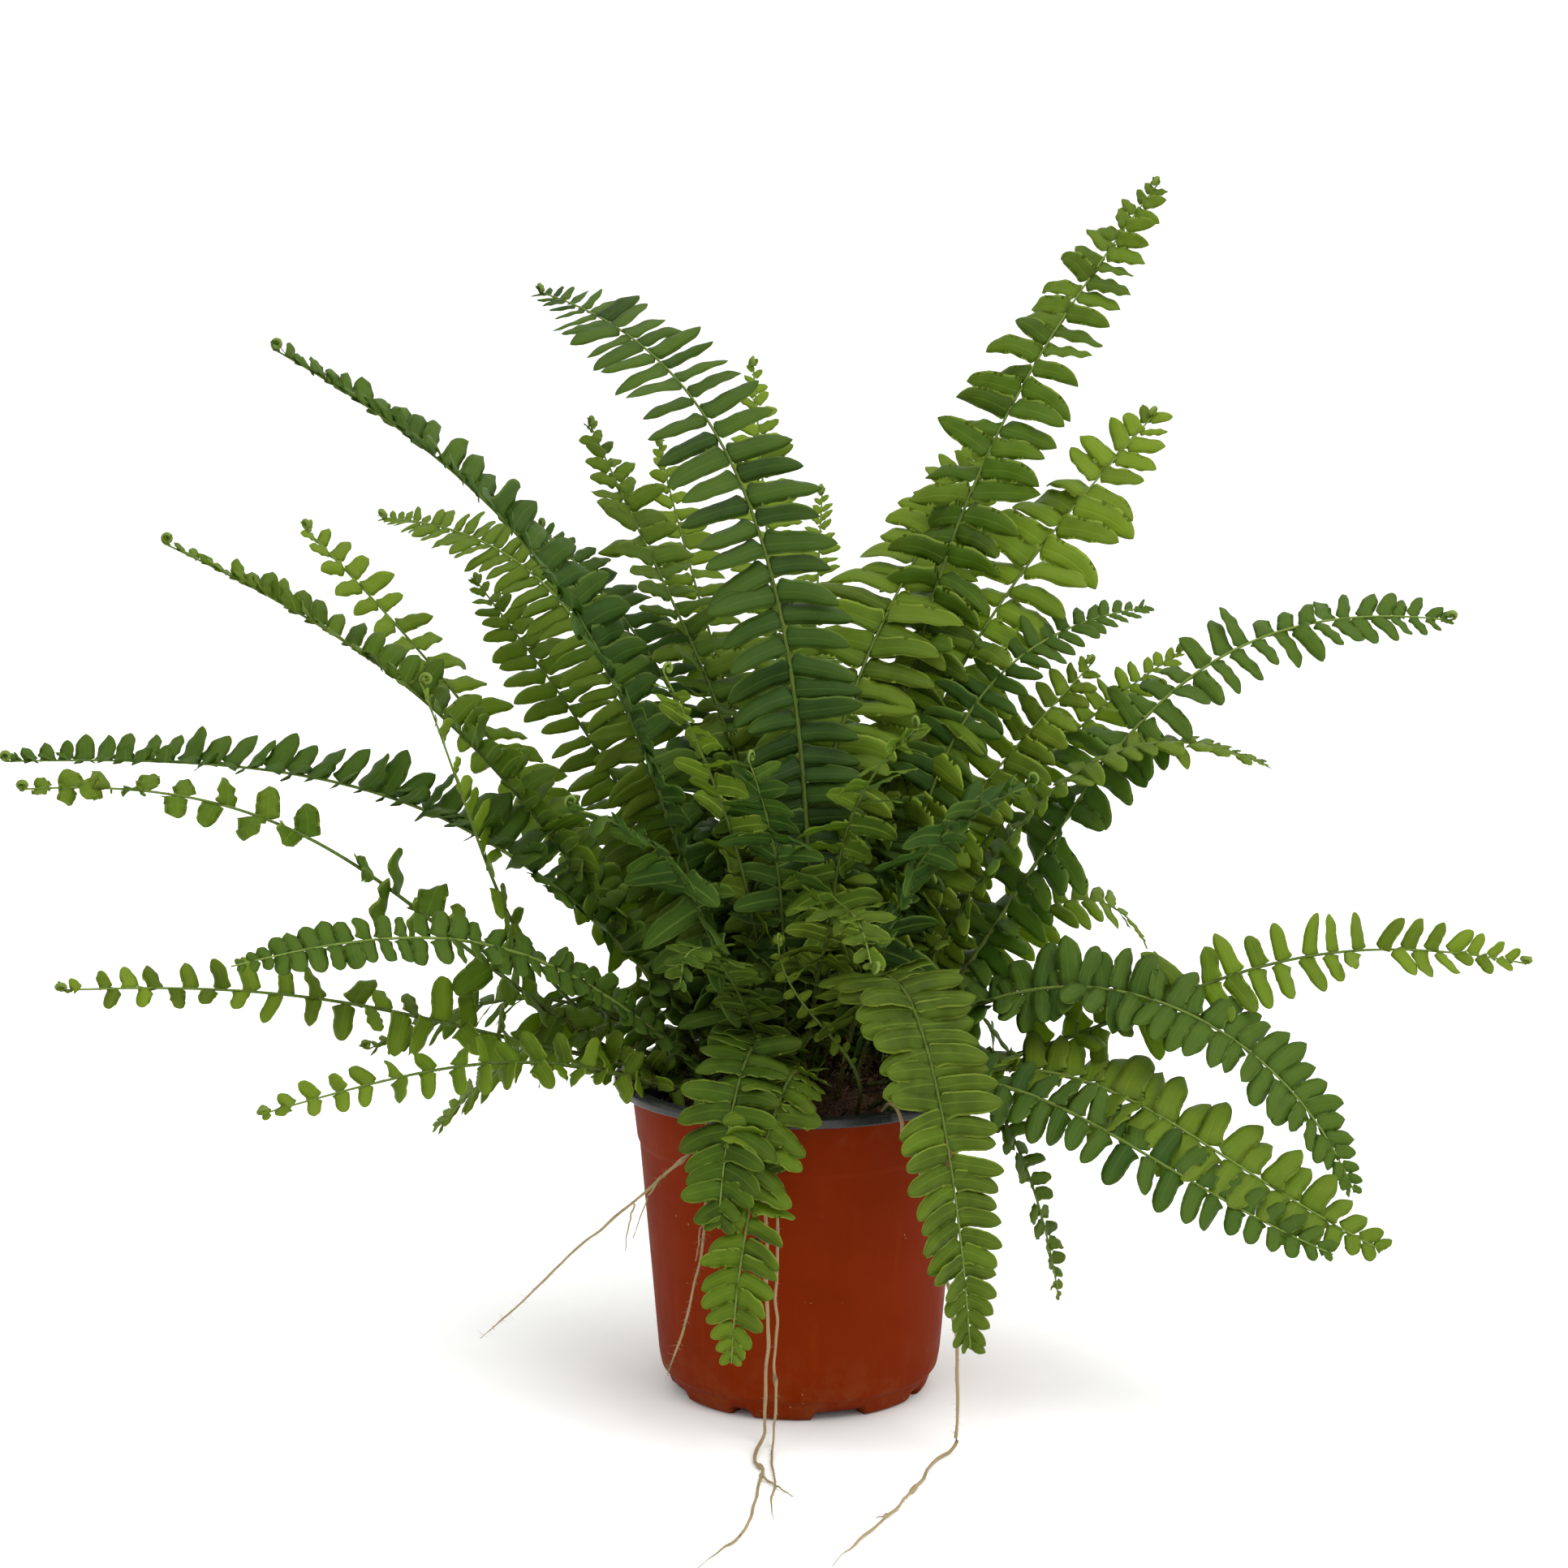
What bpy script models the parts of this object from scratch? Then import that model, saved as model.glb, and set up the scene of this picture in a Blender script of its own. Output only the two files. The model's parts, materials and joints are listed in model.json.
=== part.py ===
"""Potted Boston fern: a 12 cm nursery pot, potting soil, a crown and its fronds and runners.

Units are metres, +Z is up. The origin is the middle of the pot's underside, at the surface
that the pot stands on. +X is to the right, and +Y points away from the front.
"""
import math
from dataclasses import dataclass

import bmesh
import bpy
import numpy as np
from mathutils import Matrix, Quaternion, Vector
from mathutils.bvhtree import BVHTree

MM = 0.001
GAP = 0.3 * MM                 # air between pieces that touch

# Pot
POT_HEIGHT = 104 * MM
LIP_RADIUS = 60 * MM
WALL = 1.0 * MM
LIP_DROP = 3.0 * MM            # height of the lip's turned-down edge
COLLAR_TOP_RADIUS = 54.2 * MM
COLLAR_FOOT_RADIUS = 52.4 * MM
COLLAR_FOOT_HEIGHT = 84 * MM
COLLAR_STEP = 0.7 * MM
BODY_FOOT_RADIUS = 45.8 * MM
BODY_FOOT_HEIGHT = 12 * MM
FOOT_OUTER_RADIUS = 40 * MM
FOOT_INNER_RADIUS = 35 * MM
PAD_RADIUS = 13 * MM           # flat pad in the middle of the underside
CHANNEL_HEIGHT = 3.2 * MM      # drain channel between pad and foot
NOTCH_COUNT = 8
NOTCH_WIDTHS = (15 * MM, 5 * MM)
NOTCH_HEIGHT = 3.0 * MM
POT_STEPS = 40

# Soil and crown
SOIL_TOP = 91.5 * MM
SOIL_STEPS = 32
CROWN_RADIUS = 38 * MM
CROWN_RISE = 11 * MM

# Fronds
RACHIS_HALF_WIDTH = 1.1 * MM
RIDGE_BASE = 1.0 * MM          # half thickness of a frond at its foot and at its tip
RIDGE_TIP = 0.55 * MM
TOOTH_PITCH = 24 * MM          # one blade tooth stands for a group of leaflets
FLOOR_CLEARANCE = 1.2 * MM
SPINE_CLEARANCE = 0.5 * MM     # room kept round another frond's bare spine
SPINE_SAMPLES = 240            # even steps that a spine's stations are read from
FOOT_LIFTS = (0.6 * MM, 1.2 * MM, 1.8 * MM, 2.6 * MM)
SWAY_STEP = 2.0                # degrees that a crowded foot moves round the crown
SWAY_TRIES = 48
TOOTH_LEAN = 0.2               # how far a tooth's point leans ahead, for its length
TRIM_ROUNDS = 40
TRIM_SHARE = 0.75              # what a crowded tooth keeps of its length each round
SHORTEST_TOOTH = 1.5 * MM

# Finishes: name, linear colour and roughness
TERRACOTTA = ("terracotta_plastic", (0.235, 0.032, 0.010), 0.42)
PEAT = ("potting_soil", (0.022, 0.015, 0.010), 0.95)
RHIZOME = ("rhizome", (0.070, 0.040, 0.018), 0.85)
RUNNER_STEM = ("runner_stem", (0.330, 0.230, 0.100), 0.7)
LEAF_MID = ("fern_leaf_mid", (0.075, 0.200, 0.018), 0.45)
LEAF_DARK = ("fern_leaf_dark", (0.030, 0.110, 0.022), 0.42)
LEAF_LIGHT = ("fern_leaf_light", (0.150, 0.300, 0.025), 0.48)


@dataclass(frozen=True)
class Frond:
    """One frond's habit, in millimetres and degrees.

    bearing, reach and height place the tip, counted from the pot's axis and from the
    ground. rise and fall are the slopes of the spine at its foot and at its tip. root is
    how far from the axis it leaves the crown, and swing turns that point away from the
    bearing. leaflet is half the blade's greatest width, and turn rolls the blade. handle
    says how far the spine holds its first and last slope, and stalk how much of it is bare.
    """

    bearing: float
    reach: float
    height: float
    rise: float
    fall: float
    leaflet: float = 16.0
    root: float = 14.0
    swing: float = 0.0
    turn: float = 0.0
    handle: float = 0.46
    tone: tuple = LEAF_MID
    stalk: float = 0.16


TALL_FRONDS = [
    Frond(50, 191, 380, 74, 36, leaflet=22, root=18, turn=25),
    Frond(37, 148, 307, 76, 38, leaflet=27, root=16, turn=35, tone=LEAF_LIGHT),
    Frond(60, 122, 294, 84, 34, leaflet=25, root=-6, turn=20, tone=LEAF_LIGHT),
    Frond(122, 165, 344, 91, 5, leaflet=26, root=-7, handle=0.5, tone=LEAF_DARK),
    Frond(168, 172, 334, 70, 28, leaflet=17, tone=LEAF_DARK),
    Frond(172, 206, 272, 52, 24, leaflet=15, root=22),
    Frond(150, 192, 268, 50, 38, leaflet=19, root=32, turn=-15, tone=LEAF_LIGHT),
    Frond(140, 184, 269, 60, -2, leaflet=16, root=16),
    Frond(135, 155, 248, 56, 38, leaflet=16, root=22),
    Frond(128, 142, 266, 70, 24, leaflet=18, root=10, tone=LEAF_DARK),
    Frond(120, 142, 300, 80, 44, leaflet=15, root=8),
    Frond(110, 140, 292, 82, 52, leaflet=12, root=14, tone=LEAF_LIGHT),
    Frond(96, 150, 318, 84, 50, leaflet=13, root=18, tone=LEAF_LIGHT),
    Frond(87, 160, 272, 80, 40, leaflet=11, root=22, tone=LEAF_LIGHT),
]

RIGHT_FRONDS = [
    Frond(25, 126, 248, 72, 4, leaflet=15, root=20, turn=-20, tone=LEAF_DARK),
    Frond(20, 101, 232, 82, 44, leaflet=17, root=26, turn=20, tone=LEAF_LIGHT),
    Frond(12, 217, 245, 50, -8, leaflet=21, root=28, turn=25, tone=LEAF_DARK),
    Frond(6, 152, 202, 58, -25, leaflet=14, root=20, turn=10),
    Frond(28, 144, 231, 60, 26, leaflet=13, root=26, turn=15, tone=LEAF_LIGHT),
    Frond(20, 122, 138, 48, -58, leaflet=14, root=28, tone=LEAF_LIGHT),
    Frond(355, 230, 145, 10, -10, leaflet=20, root=22, turn=15, tone=LEAF_LIGHT),
    Frond(345, 180, 78, 52, -66, leaflet=19, root=24, turn=25, tone=LEAF_DARK),
    Frond(338, 194, 66, 26, -22, leaflet=24, root=30, turn=25),
    Frond(334, 182, 67, 34, -16, leaflet=18, root=32, swing=-20, turn=20, tone=LEAF_DARK),
    Frond(328, 96, 44, 58, -80, leaflet=8, root=34, handle=0.6),
]

LEFT_FRONDS = [
    Frond(176, 256, 203, 52, -2, leaflet=17, root=20, tone=LEAF_DARK),
    Frond(187, 244, 203, 28, -2, leaflet=13, root=34),
    Frond(192, 121, 236, 14, 70, leaflet=13, root=34, tone=LEAF_LIGHT, stalk=0.45),
    Frond(191, 234, 142, 11, 0, leaflet=13, root=20, tone=LEAF_LIGHT),
    Frond(200, 186, 154, 44, -10, leaflet=14, root=26, turn=-40, tone=LEAF_DARK),
    Frond(204, 180, 110, 24, -10, leaflet=12, root=32, tone=LEAF_LIGHT),
    Frond(150, 143, 66, 48, -44, leaflet=11, root=34, tone=LEAF_LIGHT),
    Frond(156, 158, 96, 34, -28, leaflet=14, root=32),
]

FRONT_FRONDS = [
    Frond(300, 104, 40, 74, -82, leaflet=20, root=24, turn=-10, handle=0.95, tone=LEAF_LIGHT),
    Frond(253, 86, 76, 72, -78, leaflet=15, root=24, handle=0.7),
    Frond(257, 83, 28, 64, -84, leaflet=13, root=34, handle=0.7),
    Frond(257, 94, 36, 60, -78, leaflet=13, root=34, swing=16, handle=0.7, tone=LEAF_LIGHT),
    Frond(283, 96, 160, 80, -44, leaflet=12, root=10, tone=LEAF_LIGHT),
    Frond(238, 70, 147, 84, -84, leaflet=9, root=20),
    Frond(258, 33, 154, 60, 72, leaflet=5, root=34, swing=44, tone=LEAF_LIGHT, stalk=0.3),
    Frond(231, 66, 243, 78, 56, leaflet=13, root=6, tone=LEAF_LIGHT),
]

HEART_FRONDS = [
    Frond(305, 62, 226, 86, 34, leaflet=19, root=14),
    Frond(250, 46, 214, 86, 48, leaflet=15, root=12, tone=LEAF_DARK),
    Frond(332, 82, 206, 76, 22, leaflet=18, root=20, tone=LEAF_DARK),
    Frond(212, 84, 200, 74, 18, leaflet=17, root=20, tone=LEAF_DARK),
]

BACK_FRONDS = [
    Frond(66, 150, 196, 66, -20, leaflet=19, root=24, tone=LEAF_DARK),
    Frond(88, 165, 214, 66, -12, leaflet=20, root=26),
    Frond(104, 160, 170, 58, -32, leaflet=19, root=28, tone=LEAF_DARK),
    Frond(122, 150, 150, 52, -36, leaflet=18, root=28),
    Frond(74, 140, 100, 44, -56, leaflet=17, root=32),
    Frond(98, 135, 78, 40, -66, leaflet=16, root=34, tone=LEAF_DARK),
]

# Runners
RUNNER_RADIUS = 0.7 * MM
RUNNER_STEP = 5 * MM
# Way over the lip, in millimetres from the axis and from the ground.
OVER_LIP = [(46, 95.5), (50.5, 101), (54.2, 106), (59, 106.6), (62.8, 103.5), (63.6, 97)]
# Where each runner crosses the lip, and its route from there, chosen by hand in millimetres.
RUNNERS = [
    (258.5, [(-11, -63.5, 70), (-10, -63, 40), (-10.5, -62.5, 14), (-11.5, -64, 3),
             (-13, -70, 1), (-14.5, -80, 1), (-11.5, -90, 1), (-12.5, -104, 1),
             (-15, -132, 1), (-20, -152, 1), (-30, -173, 1)]),
    (262.5, [(-7, -63, 70), (-7.5, -62.5, 40), (-8, -63, 16), (-8, -66, 4), (-8.5, -74, 1),
             (-8.5, -90, 1), (-8, -104, 1), (-9, -118, 1), (-8, -134, 1)]),
    (300, [(37, -60, 88), (43, -67, 68), (48, -70, 40), (49.5, -71, 20), (49, -72, 6),
           (46, -74, 1.2), (41, -84, 1), (34, -109, 1), (26, -131, 1), (18, -149, 1),
           (9, -172, 1)]),
    (242, [(-37, -59, 91), (-48, -61, 82), (-62, -58, 69), (-80, -52, 51), (-101, -46, 29)]),
    (248, [(-28, -62, 84), (-31, -62, 62), (-35, -61, 42), (-42, -58, 21)]),
]


def main() -> None:
    clear_scene()
    plant = new_collection("potted_fern")
    tools = new_collection("cutters")
    pot = build_pot(plant, tools)
    soil = build_soil(plant)
    crown = build_crown(plant)
    runners = build_runners(plant)
    build_fronds(plant, [pot, soil, crown] + runners)


def clear_scene() -> None:
    for old in list(bpy.data.objects):
        bpy.data.objects.remove(old, do_unlink=True)


def new_collection(name: str) -> bpy.types.Collection:
    collection = bpy.data.collections.new(name)
    bpy.context.scene.collection.children.link(collection)
    return collection


def finish_material(name: str, color: tuple, roughness: float) -> bpy.types.Material:
    """Return the named Principled material, made on its first use."""
    found = bpy.data.materials.get(name)
    if found:
        return found
    material = bpy.data.materials.new(name)
    material.use_nodes = True
    shader = material.node_tree.nodes["Principled BSDF"]
    shader.inputs["Base Color"].default_value = (*color, 1.0)
    shader.inputs["Roughness"].default_value = roughness
    shader.inputs["Metallic"].default_value = 0.0
    material.diffuse_color = (*color, 1.0)
    return material


def add_object(name, data, collection, material=None) -> bpy.types.Object:
    """Link a new object for the data and give it its material."""
    piece = bpy.data.objects.new(name, data)
    collection.objects.link(piece)
    if material:
        data.materials.append(material)
    return piece


def turned_object(name, profile, steps, collection, material) -> bpy.types.Object:
    """Turn a profile of (radius, height) points about Z, run down its outer side."""
    mesh = bpy.data.meshes.new(name)
    edges = [(i, i + 1) for i in range(len(profile) - 1)]
    mesh.from_pydata([(radius, 0, height) for radius, height in profile], edges, [])
    piece = add_object(name, mesh, collection, material)
    screw = piece.modifiers.new("turn", 'SCREW')
    screw.steps = steps
    screw.render_steps = steps
    screw.use_merge_vertices = True
    screw.merge_threshold = 0.00005
    screw.use_smooth_shade = True
    return piece


def pot_profile() -> list:
    """Outer side of the pot's one sheet: under the lip, down the wall, across the base."""
    flange = POT_HEIGHT - WALL
    skirt = LIP_RADIUS - WALL
    return [
        (skirt, POT_HEIGHT - LIP_DROP),
        (skirt, flange - 0.6 * MM),
        (skirt - 0.6 * MM, flange),
        (COLLAR_TOP_RADIUS + 1.6 * MM, flange),
        (COLLAR_TOP_RADIUS + 0.3 * MM, flange - 1.6 * MM),
        (COLLAR_FOOT_RADIUS, COLLAR_FOOT_HEIGHT),
        (COLLAR_FOOT_RADIUS - COLLAR_STEP, COLLAR_FOOT_HEIGHT - 1.2 * MM),
        (BODY_FOOT_RADIUS, BODY_FOOT_HEIGHT),
        (BODY_FOOT_RADIUS - 1.2 * MM, BODY_FOOT_HEIGHT * 0.45),
        (FOOT_OUTER_RADIUS + 1.8 * MM, 0.8 * MM),
        (FOOT_OUTER_RADIUS, 0.0),
        (FOOT_INNER_RADIUS, 0.0),
        (FOOT_INNER_RADIUS - 1.8 * MM, CHANNEL_HEIGHT),
        (PAD_RADIUS + 1.8 * MM, CHANNEL_HEIGHT),
        (PAD_RADIUS, 0.0),
        (0.0, 0.0),
    ]


def build_pot(collection, tools) -> bpy.types.Object:
    material = finish_material(*TERRACOTTA)
    pot = turned_object("pot", pot_profile(), POT_STEPS, collection, material)
    shell = pot.modifiers.new("wall", 'SOLIDIFY')
    shell.thickness = WALL
    shell.offset = -1.0
    shell.use_even_offset = True
    cutter = build_notch_cutter(tools)
    notches = pot.modifiers.new("drain_notches", 'BOOLEAN')
    notches.operation = 'DIFFERENCE'
    notches.solver = 'EXACT'
    notches.object = cutter
    return pot


def build_notch_cutter(tools) -> bpy.types.Object:
    """Blocks that open the foot ring where water drains, wide and narrow in turn."""
    outline = bmesh.new()
    depth = 14 * MM
    for index in range(NOTCH_COUNT):
        width = NOTCH_WIDTHS[index % len(NOTCH_WIDTHS)]
        angle = math.radians(-72 + index * 360 / NOTCH_COUNT)
        turn = Matrix.Rotation(angle, 4, 'Z')
        out = Matrix.Translation((FOOT_INNER_RADIUS + depth / 2 - 1.0 * MM, 0, 0))
        size = Matrix.Diagonal((depth, width, NOTCH_HEIGHT * 2, 1.0))
        bmesh.ops.create_cube(outline, size=1.0, matrix=turn @ out @ size)
    mesh = bpy.data.meshes.new("notch_cutter")
    outline.to_mesh(mesh)
    outline.free()
    cutter = add_object("notch_cutter", mesh, tools)
    cutter.hide_render = True
    cutter.display_type = 'WIRE'
    return cutter


def build_soil(collection) -> bpy.types.Object:
    """Root ball that fills the pot, a little domed on top."""
    material = finish_material(*PEAT)
    lean = (COLLAR_FOOT_RADIUS - COLLAR_STEP - BODY_FOOT_RADIUS) / (
        COLLAR_FOOT_HEIGHT - BODY_FOOT_HEIGHT)
    inset = WALL * 1.1 + GAP
    top = COLLAR_FOOT_HEIGHT - 2 * MM
    base = CHANNEL_HEIGHT + WALL + GAP
    profile = [
        (0.0, SOIL_TOP),
        (CROWN_RADIUS + 2 * MM, SOIL_TOP),
        (COLLAR_FOOT_RADIUS - COLLAR_STEP - inset, SOIL_TOP - 2 * MM),
        (BODY_FOOT_RADIUS + lean * (top - BODY_FOOT_HEIGHT) - inset, top),
        (BODY_FOOT_RADIUS - inset, BODY_FOOT_HEIGHT),
        (BODY_FOOT_RADIUS - inset - 3 * MM, base),
        (0.0, base),
    ]
    return turned_object("potting_soil", profile, SOIL_STEPS, collection, material)


def crown_height(radius: float) -> float:
    """Height of the crown's smooth dome at a distance from the axis."""
    across = min(abs(radius) / CROWN_RADIUS, 1.0)
    return SOIL_TOP + GAP + CROWN_RISE * math.sqrt(1.0 - across * across)


def build_crown(collection) -> bpy.types.Object:
    """Knotty rhizome on top of the soil, flat underneath."""
    shape = bmesh.new()
    bmesh.ops.create_icosphere(shape, subdivisions=3, radius=1.0)
    for vertex in shape.verts:
        x, y, z = vertex.co
        knot = 1.0 + 0.05 * math.sin(9 * x + 2) * math.cos(8 * y) + 0.04 * math.sin(13 * y + x)
        vertex.co = Vector((x * CROWN_RADIUS, y * CROWN_RADIUS, z * CROWN_RISE * 0.9 * knot))
    whole = shape.verts[:] + shape.edges[:] + shape.faces[:]
    bmesh.ops.bisect_plane(shape, geom=whole, plane_co=(0, 0, 0), plane_no=(0, 0, 1),
                           clear_inner=True, dist=1e-6)
    rim = [edge for edge in shape.edges if edge.is_boundary]
    bmesh.ops.holes_fill(shape, edges=rim)
    bmesh.ops.recalc_face_normals(shape, faces=shape.faces)
    mesh = bpy.data.meshes.new("crown")
    shape.to_mesh(mesh)
    shape.free()
    mesh.shade_smooth()
    material = finish_material(*RHIZOME)
    crown = add_object("crown", mesh, collection, material)
    crown.location = (0, 0, SOIL_TOP + GAP)
    return crown


def smooth_route(points: list, step: float) -> list:
    """Read points at an even step from a Catmull-Rom curve through the given ones."""
    knots = [points[0]] + points + [points[-1]]
    dense = []
    for before, start, end, after in zip(knots, knots[1:], knots[2:], knots[3:]):
        for share in np.linspace(0, 1, 12, endpoint=False):
            square, cube = share * share, share ** 3
            dense.append(0.5 * ((2 * start) + (end - before) * share
                                + (2 * before - 5 * start + 4 * end - after) * square
                                + (3 * start - before - 3 * end + after) * cube))
    dense.append(points[-1])
    return even_points(np.array(dense), step)


def even_points(path: np.ndarray, step: float) -> list:
    """Resample a path so that its points lie a step apart."""
    lengths = np.concatenate([[0], np.cumsum(np.linalg.norm(np.diff(path, axis=0), axis=1))])
    count = max(2, round(lengths[-1] / step) + 1)
    marks = np.linspace(0, lengths[-1], count)
    columns = [np.interp(marks, lengths, path[:, axis]) for axis in range(3)]
    return [Vector(point) for point in zip(*columns)]


def build_runners(collection) -> list:
    """Thin creeping stems: each hangs over the lip, and the long ones lie on the ground."""
    material = finish_material(*RUNNER_STEM)
    runners = []
    for number, (bearing, route) in enumerate(RUNNERS, start=1):
        over = [direction(bearing, 0) * radius + Vector((0, 0, height))
                for radius, height in OVER_LIP]
        points = smooth_route([np.array(point) * MM for point in over + route], RUNNER_STEP)
        curve = bpy.data.curves.new(f"runner_{number}", 'CURVE')
        curve.dimensions = '3D'
        curve.bevel_depth = RUNNER_RADIUS
        curve.bevel_resolution = 1
        curve.use_fill_caps = True
        spline = curve.splines.new('POLY')
        spline.points.add(len(points) - 1)
        for slot, point in zip(spline.points, points):
            slot.co = (*point, 1.0)
        runners.append(add_object(f"runner_{number}", curve, collection, material))
    return runners


def direction(bearing: float, slope: float) -> Vector:
    """Unit vector from a compass-like bearing and a slope, both in degrees."""
    turn = math.radians(bearing)
    tilt = math.radians(slope)
    level = math.cos(tilt)
    return Vector((math.cos(turn) * level, math.sin(turn) * level, math.sin(tilt)))


class FrondBody:
    """A frond's closed blade: rhombus sections along its spine, toothed at the edges."""

    def __init__(self, habit: Frond, sway: float = 0.0, lift: float = 0.0):
        self.habit = habit
        start_bearing = habit.bearing + habit.swing + sway
        foot = direction(start_bearing, 0) * habit.root * MM
        foot.z = crown_height(habit.root * MM) + lift
        tip = direction(habit.bearing, 0) * habit.reach * MM
        tip.z = habit.height * MM
        chord = (tip - foot).length
        out = foot + direction(start_bearing, habit.rise) * chord * habit.handle
        back = tip - direction(habit.bearing, habit.fall) * chord * habit.handle
        self.spine = self.stations(foot, out, back, tip)
        self.frames = [self.frame(index) for index in range(len(self.spine))]
        self.lengths = self.full_lengths()

    def stations(self, foot, out, back, tip) -> list:
        """Points along the spine: the stalk's foot, then teeth and gaps in turn."""
        shares = np.linspace(0, 1, 80)[:, None]
        rest = 1 - shares
        foot, out, back, tip = (np.array(point) for point in (foot, out, back, tip))
        path = (rest ** 3 * foot + 3 * rest ** 2 * shares * out
                + 3 * rest * shares ** 2 * back + shares ** 3 * tip)
        length = float(np.linalg.norm(np.diff(path, axis=0), axis=1).sum())
        dense = even_points(path, length / SPINE_SAMPLES)
        self.pairs = max(4, round(length * (1 - self.habit.stalk) / TOOTH_PITCH))
        blade = np.linspace(self.habit.stalk, 1.0, 2 * self.pairs + 1)
        stalk = np.linspace(0, self.habit.stalk, 3)[:-1]
        marks = np.concatenate([stalk, blade])
        return [dense[round(mark * SPINE_SAMPLES)] for mark in marks]

    def frame(self, index: int) -> tuple:
        """Side and upper-face directions of the blade at a station."""
        last = len(self.spine) - 1
        ahead = self.spine[min(index + 1, last)] - self.spine[max(index - 1, 0)]
        ahead.normalize()
        level = direction(self.habit.bearing + 90, 0)
        side = (level - ahead * level.dot(ahead)).normalized()
        roll = Quaternion(ahead, math.radians(self.habit.turn) * index / last)
        side = roll @ side
        return side, ahead.cross(side).normalized(), ahead

    def is_tooth(self, index: int) -> bool:
        return index > 2 and index % 2 == 1 and index < len(self.spine) - 1

    def full_lengths(self) -> dict:
        """Length of every tooth on both sides, longest a third of the way up the blade."""
        lengths = {}
        last = len(self.spine) - 1
        for index in range(last):
            if self.is_tooth(index):
                share = (index - 2) / (last - 2)
                swell = min(1.0, 0.62 + 1.5 * share) * (1 - 0.86 * share ** 2.4)
                for hand in (-1, 1):
                    lengths[index, hand] = self.habit.leaflet * MM * swell
        return lengths

    def mesh_parts(self, swell: float = 0.0) -> tuple:
        """Vertices and faces, fattened all round by swell for clearance tests."""
        last = len(self.spine) - 1
        vertices = []
        for index, point in enumerate(self.spine):
            side, face, ahead = self.frames[index]
            share = index / last
            ridge = RIDGE_BASE + (RIDGE_TIP - RIDGE_BASE) * share + swell
            waist = RACHIS_HALF_WIDTH * (1 - 0.45 * share) + swell
            centre = point + ahead * swell * (index == last) - ahead * swell * (index == 0)
            reach = {}
            for hand in (-1, 1):
                tooth = self.lengths.get((index, hand), 0.0)
                reach[hand] = max(waist, tooth + swell)
            vertices += [
                centre + side * reach[1] + ahead * reach[1] * TOOTH_LEAN,
                centre + face * ridge,
                centre - side * reach[-1] + ahead * reach[-1] * TOOTH_LEAN,
                centre - face * ridge,
            ]
        faces = [(0, 1, 2, 3), tuple(4 * last + corner for corner in (3, 2, 1, 0))]
        for index in range(last):
            near, far = 4 * index, 4 * (index + 1)
            for corner in range(4):
                turn = (corner + 1) % 4
                faces.append((near + corner, far + corner, far + turn, near + turn))
        return vertices, faces

    def tree(self, swell: float = 0.0) -> BVHTree:
        return BVHTree.FromPolygons(*self.mesh_parts(swell))

    def trim(self, others: list) -> None:
        """Shorten each tooth that comes too near to another piece, until all are clear."""
        for _ in range(TRIM_ROUNDS):
            own = self.tree(GAP)
            crowded = set()
            for other in others:
                crowded.update(pair[0] for pair in own.overlap(other))
            crowded.update(self.low_faces())
            if not crowded:
                return
            for face in crowded:
                self.shorten_near(face)

    def low_faces(self) -> list:
        """Faces that would come too near to the ground."""
        vertices, faces = self.mesh_parts()
        return [number for number, face in enumerate(faces)
                if min(vertices[corner].z for corner in face) < FLOOR_CLEARANCE]

    def shorten_near(self, face: int) -> None:
        if face < 2:
            return
        station, corner = divmod(face - 2, 4)
        hand = 1 if corner in (0, 3) else -1
        for index in (station, station + 1):
            if (index, hand) in self.lengths:
                shorter = self.lengths[index, hand] * TRIM_SHARE
                self.lengths[index, hand] = shorter if shorter > SHORTEST_TOOTH else 0.0

    def bare_copy_tree(self) -> BVHTree:
        """Clearance body of the spine alone, with no teeth."""
        kept = self.lengths
        self.lengths = {}
        bare = self.tree(SPINE_CLEARANCE)
        self.lengths = kept
        return bare

    def to_object(self, name: str, collection) -> bpy.types.Object:
        vertices, faces = self.mesh_parts()
        mesh = bpy.data.meshes.new(name)
        mesh.from_pydata(vertices, [], faces)
        surface = bmesh.new()
        surface.from_mesh(mesh)
        bmesh.ops.triangulate(surface, faces=surface.faces)
        bmesh.ops.recalc_face_normals(surface, faces=surface.faces)
        surface.to_mesh(mesh)
        surface.free()
        return add_object(name, mesh, collection, finish_material(*self.habit.tone))


def world_tree(piece: bpy.types.Object) -> BVHTree:
    """Search tree of a finished piece in world space."""
    depsgraph = bpy.context.evaluated_depsgraph_get()
    mesh = bpy.data.meshes.new_from_object(piece.evaluated_get(depsgraph))
    vertices = [piece.matrix_world @ vertex.co for vertex in mesh.vertices]
    faces = [tuple(face.vertices) for face in mesh.polygons]
    bpy.data.meshes.remove(mesh)
    return BVHTree.FromPolygons(vertices, faces)


def clear_spine(habit: Frond, taken: list) -> FrondBody:
    """Sway a frond's foot round the crown, and lift it, until its spine is free."""
    for lift in FOOT_LIFTS:
        for step in range(SWAY_TRIES):
            sway = (step + 1) // 2 * SWAY_STEP * (1 if step % 2 else -1)
            body = FrondBody(habit, sway, lift)
            bare = body.bare_copy_tree()
            if not any(bare.overlap(other) for other in taken):
                return body
    raise RuntimeError(f"no free place for the frond at bearing {habit.bearing}")


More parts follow.
